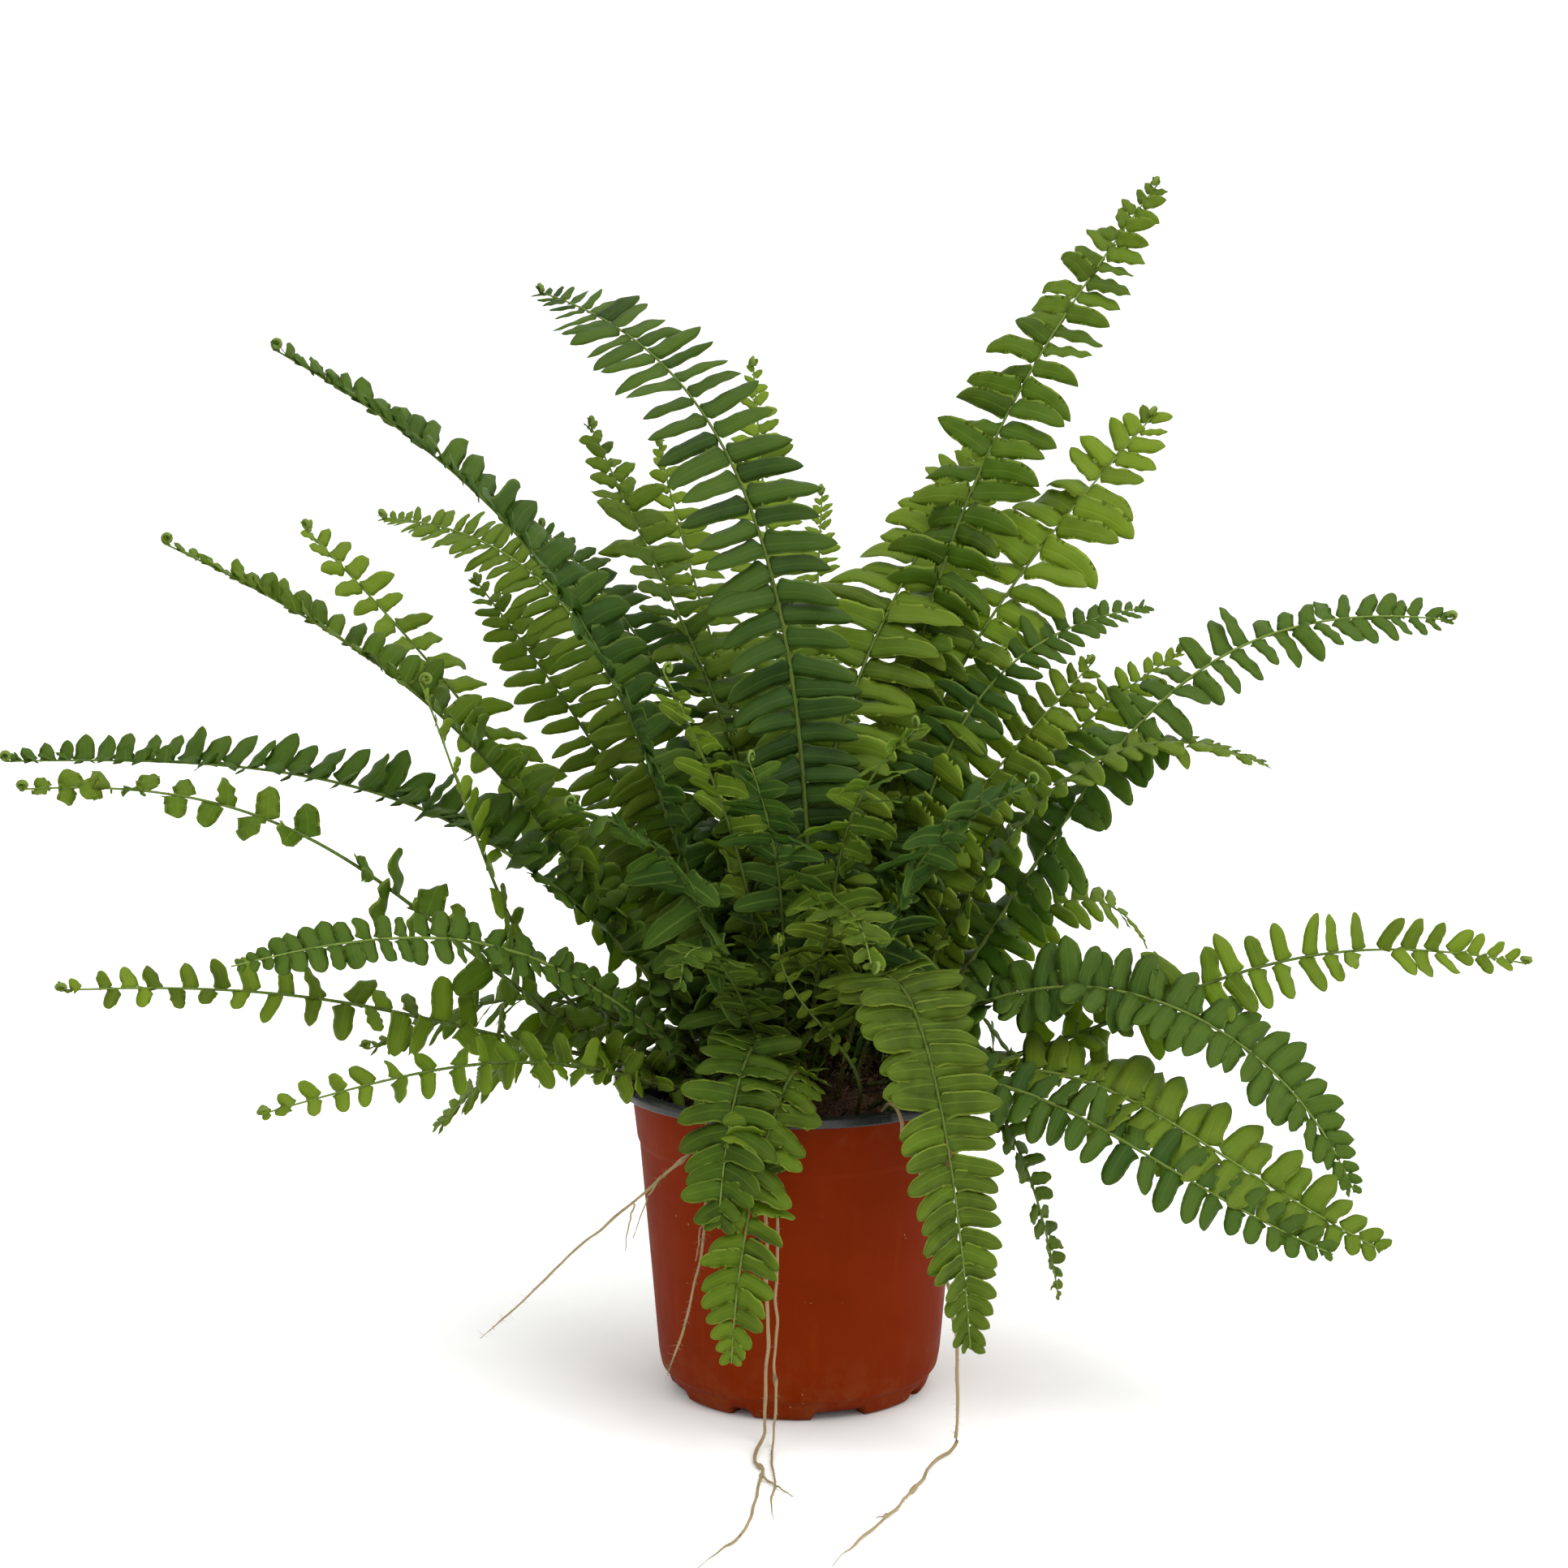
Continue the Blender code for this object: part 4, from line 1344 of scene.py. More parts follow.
    def uneven(self, grid: np.ndarray) -> np.ndarray:
        """Push the thin wall in and out a little, more so higher up.

        Args:
            grid: Points of the sheet, shaped (turns, points, 3).

        Returns:
            The moved points.
        """
        turn = np.linspace(0, 2 * math.pi, grid.shape[0], endpoint=False)[:, None]
        height = grid[..., 2]
        swell = 0.05 * MM * np.sin(7 * turn + height * 60)
        for size, waves, phase in self.swells:
            swell = swell + size * np.sin(waves * turn + phase)
        push = 1 + swell / (50 * MM) * np.clip(height / (60 * MM), 0, 1)
        return np.concatenate([grid[..., :2] * push[..., None], grid[..., 2:]], axis=-1)


# ---- Soil and crown ----


@dataclass(frozen=True)
class RootBall:
    """Peat that fills the pot, crumbly on top, with loose fibres.

    Attributes:
        radius: Radius of its top.
        crumbs: Number of loose crumbs.
        fibres: Number of loose root fibres.
        rings: Rings of points on the top.
        turns: Steps round it.
        crumb_area: Where the crumbs go in the bake map.
        fibre_area: Where the fibres go in the bake map.
        seed: Seed of the scatter.
    """

    radius: float = 51.0 * MM
    crumbs: int = 2600
    fibres: int = 150
    rings: int = 44
    turns: int = 128
    crumb_area: Cell = (0.0, 0.71, 1.0, 0.21)
    fibre_area: Cell = (0.0, 0.93, 1.0, 0.06)
    seed: int = 5

    def surface(self, x: np.ndarray, y: np.ndarray) -> np.ndarray:
        """Find the height of the soil: lumps and hollows on a low dome.

        Args:
            x: Places along X.
            y: Places along Y.

        Returns:
            The height at each place.
        """
        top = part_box("potting_soil")[1].z
        radius = np.hypot(x, y) / self.radius
        lumps = (np.sin(x * 310 + 1.3) * np.cos(y * 270 + 0.4) * 0.55
                 + np.sin(x * 620 + y * 410) * 0.30 + np.cos(y * 890 - x * 530) * 0.18)
        return top - 2.0 * MM * radius ** 2 + lumps * MM * (1 - 0.3 * radius)

    def build(self) -> bpy.types.Object:
        """Make the soil as one piece with its crumbs and fibres.

        Returns:
            The finished soil.
        """
        rng = np.random.default_rng(self.seed)
        parts = MeshParts()
        self.add_ball(parts)
        self.add_crumbs(parts, rng)
        self.add_fibres(parts, rng)
        soil = parts.to_object("potting_soil_top", [PeatFinish().build(), ScaleFinish(
            "root_fibre", (0.130, 0.070, 0.032), (0.360, 0.230, 0.120)).build()])
        return place(soil, Slot.SOIL, "potting_soil")

    def add_ball(self, parts: MeshParts) -> None:
        """Add the root ball's body: a fine top over a plain turned side.

        Args:
            parts: Mesh that takes it.
        """
        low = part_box("potting_soil")[0]
        side = np.array([[self.radius * 0.985, 80 * MM], [low.x * -0.86, 12 * MM],
                         [low.x * -0.80, low.z], [0.02 * MM, low.z]])
        top = np.linspace(0.02 * MM, self.radius, self.rings)
        profile = np.concatenate([np.stack([top, np.zeros_like(top)], 1), side])
        grid = turned_points(profile, self.turns)
        grid[:, :self.rings, 2] = self.surface(grid[:, :self.rings, 0], grid[:, :self.rings, 1])
        turned_body(parts, grid, (0.005, 0.005, 0.99, 0.69), 0.2)

    def add_crumbs(self, parts: MeshParts, rng: np.random.Generator) -> None:
        """Scatter lumpy crumbs over the top.

        Args:
            parts: Mesh that takes them.
            rng: Random source.
        """
        corners, triangles = primitive_ball()
        corner_map = np.array([[0.0, 0.0], [1.0, 0.0], [0.5, 1.0], [0.0, 0.0]])
        for index in range(self.crumbs):
            radius = self.radius * 0.985 * math.sqrt(rng.random())
            turn = rng.uniform(0, 2 * math.pi)
            x, y = radius * math.cos(turn), radius * math.sin(turn)
            size = 0.35 * MM + 1.25 * MM * rng.random() ** 3
            if radius > self.radius * 0.985 - size:
                x, y = x * 0.95, y * 0.95
            squeeze = rng.uniform(0.55, 1.25, 3) * size
            lump = corners * (1 + rng.uniform(-0.22, 0.22, (len(corners), 1))) * squeeze
            spin = rng.uniform(0, 2 * math.pi)
            lump[:, :2] = lump[:, :2] @ np.array([[math.cos(spin), math.sin(spin)],
                                                  [-math.sin(spin), math.cos(spin)]])
            middle = np.array([x, y, self.surface(x, y) + size * rng.uniform(0.1, 0.6)])
            cell = cell_at(index, self.crumbs, self.crumb_area)
            flat = corner_map * cell[2:] + cell[:2]
            parts.add(lump + middle, triangles, 0, np.tile(flat, (len(triangles), 1, 1)),
                      tint=rng.random())

    def add_fibres(self, parts: MeshParts, rng: np.random.Generator) -> None:
        """Lay loose root fibres over the crumbs.

        Args:
            parts: Mesh that takes them.
            rng: Random source.
        """
        for index in range(self.fibres):
            radius = self.radius * 0.9 * math.sqrt(rng.random())
            turn = rng.uniform(0, 2 * math.pi)
            here = np.array([radius * math.cos(turn), radius * math.sin(turn), 0.0])
            heading = rng.uniform(0, 2 * math.pi)
            steps = []
            for _ in range(rng.integers(5, 11)):
                heading += rng.normal(0, 0.5)
                here = here + np.array([math.cos(heading), math.sin(heading), 0]) * 2 * MM
                reach = math.hypot(*here[:2])
                if reach > self.radius * 0.95:
                    here = here * (self.radius * 0.95 / reach)
                    heading += 1.2
                steps.append(here)
            line = np.array(steps)
            hump = np.abs(smooth_noise(np.arange(len(line)) * 1.0, 2.0, rng)) * 1.6 * MM
            line[:, 2] = self.surface(line[:, 0], line[:, 1]) + 0.3 * MM + hump
            line = through_points(line, 1.2 * MM)
            stem = Stem.from_points(line, np.tile([0.1, 0.2, 1.0], (len(line), 1)), 0.0)
            thick = rng.uniform(0.09, 0.22) * MM
            tube(parts, stem, np.full(len(line), thick), 1,
                 cell_at(index, self.fibres, self.fibre_area), sides=4, tint=rng.random())


def primitive_ball() -> tuple[np.ndarray, np.ndarray]:
    """Make a ball with twenty faces, of radius one.

    Returns:
        Its corners, and its faces as corner indices that end with -1.
    """
    golden = (1 + math.sqrt(5)) / 2
    corners = []
    for first, second in ((1, golden), (-1, golden), (1, -golden), (-1, -golden)):
        corners += [(0, first, second), (first, second, 0), (second, 0, first)]
    points = unit(np.array(corners, float))
    gaps = np.linalg.norm(points[:, None] - points[None], axis=2)
    longest_edge = 1.2
    near = (gaps > 0) & (gaps < longest_edge)
    triangles = []
    for first in range(12):
        for second in range(first + 1, 12):
            for third in range(second + 1, 12):
                if near[first, second] and near[second, third] and near[first, third]:
                    a, b, c = points[first], points[second], points[third]
                    outward = np.dot(np.cross(b - a, c - a), a) > 0
                    triangles.append((first, second, third, -1) if outward
                                     else (first, third, second, -1))
    return points, np.array(triangles)


@dataclass(frozen=True)
class Crown:
    """Knotty rhizome with papery scales and the stubs of old stalks.

    Attributes:
        inset: How far the surface stays inside the frame's dome.
        scales: Number of papery scales.
        stubs: Number of withered stalk stubs.
        rings: Rings of points on the dome.
        turns: Steps round it.
        stub_area: Where the stubs go in the bake map.
        scale_area: Where the scales go in the bake map.
        seed: Seed of the scatter.
    """

    inset: float = 0.6 * MM
    scales: int = 1500
    stubs: int = 26
    rings: int = 34
    turns: int = 96
    stub_area: Cell = (0.0, 0.81, 1.0, 0.04)
    scale_area: Cell = (0.0, 0.86, 1.0, 0.13)
    seed: int = 8

    def dome(self, share: np.ndarray, turn: np.ndarray) -> np.ndarray:
        """Find points of the lumpy dome.

        Args:
            share: Shares of its radius.
            turn: Bearings in radians.

        Returns:
            The points.
        """
        low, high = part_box("crown")
        radius = high.x - self.inset
        rise = high.z - low.z - self.inset
        lumps = (1 + 0.10 * np.sin(5 * turn + 7 * share) * share
                 + 0.07 * np.cos(9 * turn - 5 * share))
        knots = 0.78 + 0.22 * np.sin(11 * share * np.cos(turn)) * np.cos(10 * share * np.sin(turn))
        reach = radius * share * (1 - 0.06 * (1 - np.cos(4 * turn)) * share)
        height = rise * np.sqrt(np.clip(1 - share ** 2, 0, 1)) * knots * np.minimum(lumps, 1.15)
        return np.stack([reach * np.cos(turn), reach * np.sin(turn), low.z + height], axis=-1)

    def build(self) -> bpy.types.Object:
        """Make the crown with its scales and stubs.

        Returns:
            The finished crown.
        """
        rng = np.random.default_rng(self.seed)
        parts = MeshParts()
        middle = 0.002
        share = np.concatenate([np.linspace(middle, 1.0, self.rings), [middle]])
        turn = np.linspace(0, 2 * math.pi, self.turns, endpoint=False)
        grid = self.dome(*np.meshgrid(share, turn))
        grid[:, -1, 2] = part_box("crown")[0].z
        turned_body(parts, grid, (0.005, 0.005, 0.99, 0.79), 0.5)
        self.add_scales(parts, rng)
        self.add_stubs(parts, rng)
        crown = parts.to_object("rhizome_crown", [RhizomeFinish().build(), ScaleFinish().build()])
        return place(crown, Slot.RHIZOME, "crown")

    def add_scales(self, parts: MeshParts, rng: np.random.Generator) -> None:
        """Cover the dome with papery scales that point up and out.

        Args:
            parts: Mesh that takes them.
            rng: Random source.
        """
        share = np.sqrt(rng.random(self.scales)) * 0.97
        turn = rng.uniform(0, 2 * math.pi, self.scales)
        feet = self.dome(share, turn)
        out = unit(feet - np.array([0.0, 0.0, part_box("crown")[0].z]) + [0, 0, 2 * MM])
        tips = feet + (out + rng.normal(0, 0.45, feet.shape)) * rng.uniform(
            1.2, 3.4, self.scales)[:, None] * MM
        tips[:, 2] = np.maximum(tips[:, 2], feet[:, 2] + 0.3 * MM)
        spikes(parts, feet - out * 0.3 * MM, tips, rng.uniform(0.3, 0.8, self.scales) * MM, 1,
               self.scale_area, tint=rng.random(self.scales))

    def add_stubs(self, parts: MeshParts, rng: np.random.Generator) -> None:
        """Set short withered stubs of old stalks between the fronds.

        Args:
            parts: Mesh that takes them.
            rng: Random source.
        """
        for index in range(self.stubs):
            foot = self.dome(np.array(math.sqrt(rng.random()) * 0.85),
                             np.array(rng.uniform(0, 2 * math.pi)))
            lean = unit(np.array([foot[0] * 18, foot[1] * 18, 1.0]) + rng.normal(0, 0.25, 3))
            reach = rng.uniform(5, 15) * MM
            bend = rng.normal(0, 0.25, 3) * reach
            marks = np.linspace(0, 1, 6)[:, None]
            line = foot - lean * MM + lean * reach * marks + bend * marks ** 2
            line[:, 2] = np.maximum(line[:, 2], foot[2] - MM)
            stem = Stem.from_points(line, np.tile([0.9, 0.3, 0.1], (6, 1)), 0.0)
            radii = np.linspace(0.9, 0.5, 6) * MM * rng.uniform(0.7, 1.2)
            tube(parts, stem, radii, 0, cell_at(index, self.stubs, self.stub_area), sides=7,
                 tint=rng.random())


# ---- Fronds ----


@dataclass(frozen=True)
class LeafGrid:
    """How finely a leaflet is meshed.

    Attributes:
        rows: Points along the leaflet.
        columns: Points across it.
        teeth: Rounded teeth along each margin.
    """

    rows: int = 17
    columns: int = 5
    teeth: int = 8

    def faces(self) -> tuple[np.ndarray, np.ndarray]:
        """Join the upper side's points to the under side's, which share the rim's points.

        Returns:
            Faces as corner indices, and 0 for each upper or 1 for each under one.
        """
        upper = np.arange(self.rows * self.columns).reshape(self.rows, self.columns)
        under = upper.copy()
        inner = under[1:-1, 1:-1]
        under[1:-1, 1:-1] = self.rows * self.columns + np.arange(inner.size).reshape(inner.shape)
        top = grid_faces(self.rows, self.columns)
        low = under.ravel()[top][:, ::-1]
        return np.concatenate([top, low]), np.repeat([0, 1], [len(top), len(low)])

    def shared(self, values: np.ndarray) -> np.ndarray:
        """Lay a grid of values out in the order of the leaflet's points."""
        return np.concatenate([values.ravel(), values[1:-1, 1:-1].ravel()])


@dataclass(frozen=True)
class LeafTone:
    """One leaf colour, worn on a leaflet's two sides.

    Attributes:
        base: Linear colour of a grown leaflet.
        young: Linear colour towards the frond's tip.
        glow: Linear colour of light that comes through.
    """

    base: Color
    young: Color
    glow: Color

    def skins(self, name: str) -> list[bpy.types.Material]:
        """Make the upper skin and the paler, duller one of the underside.

        Args:
            name: Start of both materials' names.

        Returns:
            The upper and the under skin.
        """
        pale = tuple(part * 1.25 + 0.004 for part in self.base)
        upper = LeafFinish(f"{name}_upper", self.base, self.young, self.glow)
        under = LeafFinish(f"{name}_under", pale, self.young, self.glow, side=Side.UNDER)
        return [upper.build(), under.build()]


class Tone(Enum):
    """The plant's three leaf colours."""

    MID = LeafTone((0.043, 0.085, 0.0036), (0.122, 0.172, 0.014), (0.310, 0.460, 0.016))
    DARK = LeafTone((0.022, 0.055, 0.0055), (0.074, 0.124, 0.012), (0.175, 0.330, 0.016))
    LIGHT = LeafTone((0.071, 0.118, 0.0055), (0.155, 0.214, 0.018), (0.420, 0.570, 0.026))


TONES = {Slot.LEAF_MID: Tone.MID, Slot.LEAF_DARK: Tone.DARK, Slot.LEAF_LIGHT: Tone.LIGHT}


def recorded_slots() -> dict[str, Slot]:
    """Look up each node's material slot in the record.

    Returns:
        The slot of each node, by the node's name.
    """
    return {entry["node"]: Slot(entry["material_slot"]) for entry in frame["record"]["subparts"]}


@dataclass(frozen=True)
class Habit:
    """How one frond's leaflets grow.

    Attributes:
        leaf: Length of the longest leaflet, in millimetres.
        spacing: Distance between neighbours on one side, as a share of leaf.
        width: Width of a leaflet, as a share of its length.
        fold: How far the leaflets stand up off the blade, in degrees.
        turn: How far the whole blade is rolled about its stalk, in degrees.
        forward: How far they lean ahead in the middle of the blade, in degrees.
        droop: How strongly their tips hang.
        sickle: How strongly they curve ahead.
        wave: How wavy their margins are.
        scatter: Spread of their directions, in degrees.
        missing: Share of leaflets that were lost.
        tip: How the frond ends.
        age: Shift towards the young colour, from -1 to 1.
        shade: Shift to a lighter or darker green, from -1 to 1.
        full: Share of the blade over which the leaflets keep their full length.
        point: How pointed the leaflets are, from 0 for round to 1.
        bare: Share of the frame's bare stalk that stays bare here.
    """

    leaf: float
    spacing: float = 0.42
    width: float = 0.40
    fold: float = 6.0
    turn: float = 0.0
    forward: float = 4.0
    droop: float = 0.55
    sickle: float = 0.06
    wave: float = 0.6
    scatter: float = 9.0
    missing: float = 0.0
    tip: Tip = Tip.CROZIER
    age: float = 0.0
    shade: float = 0.0
    full: float = 0.66
    point: float = 0.5
    bare: float = 0.35


HABITS: dict[str, Habit] = {
    "frond_01": Habit(23, spacing=0.38, droop=0.8, wave=1.1, scatter=13, full=0.55, point=0.65,
                      shade=-0.4),
    "frond_02": Habit(28, spacing=0.33, width=0.36, forward=0, droop=0.9, wave=0.9, scatter=10),
    "frond_03": Habit(26, spacing=0.30, width=0.34, droop=0.7),
    "frond_04": Habit(22, spacing=0.43, width=0.36, forward=-6, droop=0.45, wave=0.4, scatter=5,
                      full=0.78, age=0.3, shade=-0.45, turn=-22),
    "frond_05": Habit(18, fold=30, droop=0.6, spacing=0.44, forward=16, age=0.1, shade=0.15,
                      width=0.52),
    "frond_06": Habit(16, fold=32, droop=0.6, spacing=0.44, forward=16, scatter=12, width=0.5),
    "frond_07": Habit(20, spacing=0.50, width=0.42, fold=14, droop=0.7, forward=-12, wave=0.9,
                      scatter=8, full=0.5),
    "frond_08": Habit(17, fold=8, width=0.34, spacing=0.34, shade=0.8, turn=-28),
    "frond_09": Habit(17, fold=8, age=0.3, turn=-20),
    "frond_10": Habit(19, fold=14),
    "frond_11": Habit(18, fold=16, forward=10, wave=0.9, spacing=0.46, width=0.42, scatter=14),
    "frond_12": Habit(14, fold=12, spacing=0.50, width=0.44, forward=-6),
    "frond_13": Habit(15, fold=10, wave=0.9, spacing=0.50, width=0.42, age=0.2),
    "frond_14": Habit(12, fold=10, spacing=0.55, width=0.44),
    "frond_15": Habit(16, fold=10, tip=Tip.OPEN, turn=48, spacing=0.38, width=0.34, shade=0.2),
    "frond_16": Habit(18, wave=0.9, shade=-0.6, turn=20),
    "frond_17": Habit(22, width=0.36, spacing=0.36, droop=0.8, wave=0.8, full=0.45, turn=12, scatter=10,
                      shade=0.9, point=0.3, age=0.3),
    "frond_18": Habit(16, tip=Tip.OPEN, age=0.2),
    "frond_19": Habit(15, turn=20),
    "frond_20": Habit(15, tip=Tip.OPEN, turn=25),
    "frond_21": Habit(17, spacing=0.50, fold=14, turn=38, droop=0.3, scatter=14, missing=0.06, full=0.5,
                      age=0.15, shade=-0.2, point=0.3),
    "frond_22": Habit(17, width=0.48, spacing=0.37, turn=22, age=0.25, tip=Tip.OPEN, fold=8, shade=0.7,
                      point=0.42, forward=-4),
    "frond_23": Habit(19, width=0.5, turn=16, fold=10, tip=Tip.OPEN, droop=0.45, shade=1.0, point=0.42,
                      forward=-12, age=0.65),
    "frond_24": Habit(16, width=0.46, spacing=0.5, turn=18, tip=Tip.OPEN, shade=0.5, point=0.3,
                      forward=-4),
    "frond_25": Habit(9, tip=Tip.OPEN, width=0.60, spacing=0.62, scatter=16, point=0.2),
    "frond_26": Habit(17, fold=40, droop=0.1, spacing=0.46, width=0.56, forward=-38, turn=-12, age=0.2,
                      scatter=10, full=0.5, shade=0.7),
    "frond_27": Habit(15, fold=20, turn=-30, spacing=0.85, width=0.72, scatter=24, missing=0.10,
                      droop=0.7, wave=1.2, full=0.45, shade=0.2, point=0.3),
    "frond_28": Habit(13, fold=10, width=0.42, spacing=0.58, bare=1.0, turn=-15, missing=0.3),
    "frond_29": Habit(15, fold=14, turn=-40, spacing=0.72, width=0.52, scatter=20, missing=0.05,
                      wave=0.9, age=0.25, full=0.5, shade=-0.6, point=0.3),
    "frond_30": Habit(10, width=0.66, spacing=0.6, fold=2, turn=-16, scatter=10, droop=0.3, forward=-12,
                      tip=Tip.OPEN, full=0.8, shade=1.0, point=0.12, age=0.3),
    "frond_31": Habit(12, turn=-40, spacing=0.85, width=0.56, scatter=18, full=0.45, point=0.3),
    "frond_32": Habit(14, spacing=0.34, tip=Tip.OPEN, turn=-30),
    "frond_33": Habit(15, spacing=0.40, scatter=14, turn=-20),
    "frond_34": Habit(22, spacing=0.27, width=0.38, fold=8, forward=2, droop=0.35, wave=0.5, scatter=5,
                      tip=Tip.OPEN, full=0.60, shade=-0.9, point=0.3, bare=1.0, age=-0.32),
    "frond_35": Habit(17, width=0.44, spacing=0.36, fold=8, tip=Tip.OPEN, scatter=8, point=0.3,
                      bare=1.0, shade=-0.5, age=-0.22),
    "frond_36": Habit(15, width=0.50, spacing=0.40, tip=Tip.OPEN, wave=0.9, scatter=12, point=0.3,
                      bare=1.0, shade=-0.2, age=-0.22),
    "frond_37": Habit(15, width=0.48, spacing=0.38, tip=Tip.OPEN, wave=0.8, scatter=12, point=0.3,
                      bare=1.0, shade=-0.2, age=-0.15),
    "frond_38": Habit(15, wave=0.9, width=0.42, scatter=20, missing=0.06, spacing=0.48, turn=-15,
                      shade=-1.0, age=-0.6),
    "frond_39": Habit(12, tip=Tip.OPEN, width=0.46, shade=-1.0, age=-0.5),
    "frond_40": Habit(5, spacing=1.4, width=0.75, age=0.8, scatter=18, bare=1.0, shade=0.9),
    "frond_41": Habit(16, width=0.44, wave=0.9, scatter=22, missing=0.1, spacing=0.52, shade=-0.45,
                      age=-0.25),
    "frond_42": Habit(20, wave=0.9, scatter=24, missing=0.06, age=-0.2),
    "frond_43": Habit(19, scatter=24, shade=0.2, missing=0.06, age=-0.3),
    "frond_44": Habit(20, scatter=24, age=-0.35),
    "frond_45": Habit(20, scatter=24, shade=0.3, age=-0.35),
    "frond_46": Habit(19),
    "frond_47": Habit(20),
    "frond_48": Habit(19),
    "frond_49": Habit(18),
    "frond_50": Habit(17, tip=Tip.OPEN),
    "frond_51": Habit(16, tip=Tip.OPEN),
}


@dataclass(frozen=True)
class Leaflets:
    """Where a frond's leaflets sit and how they point, one entry each.

    Attributes:
        foot: Points of attachment.
        out: Unit directions at the foot.
        up: Unit normals of the upper side at the foot.
        ahead: Unit directions of the frond at the foot.
        hand: 1 on the blade's left, -1 on its right.
        length: Lengths.
        share: Share of the blade at the foot, 0 at its base and 1 at its tip.
    """

    foot: np.ndarray
    out: np.ndarray
    up: np.ndarray
    ahead: np.ndarray
    hand: np.ndarray
    length: np.ndarray
    share: np.ndarray


# Curves over the share of the blade or stalk, 0 at its base and 1 at its tip: shares, values.
PITCH_ALONG = ([0, 0.3, 0.6, 0.85, 1.0, 1.01], [0.58, 0.76, 1.0, 0.84, 0.60, 0.30])
SPREAD_ALONG = ([0, 0.3, 0.65], [3.0, 2.0, 1.0])
BREADTH_ALONG = ([0, 0.7, 1], [1.0, 1.0, 1.5])
HANG_ALONG = ([0.8, 1], [1.0, 0.3])
SCALE_LENGTH_ALONG = ([0, 0.25, 1], [3.0, 1.5, 0.8])
SCALE_WIDTH_ALONG = ([0, 0.3, 1], [0.55, 0.28, 0.16])
# Thickness of a leaflet from its midrib to its margin.
SKIN_ACROSS = ([0, 0.2, 0.6, 1], [1.0, 0.9, 0.75, 0])


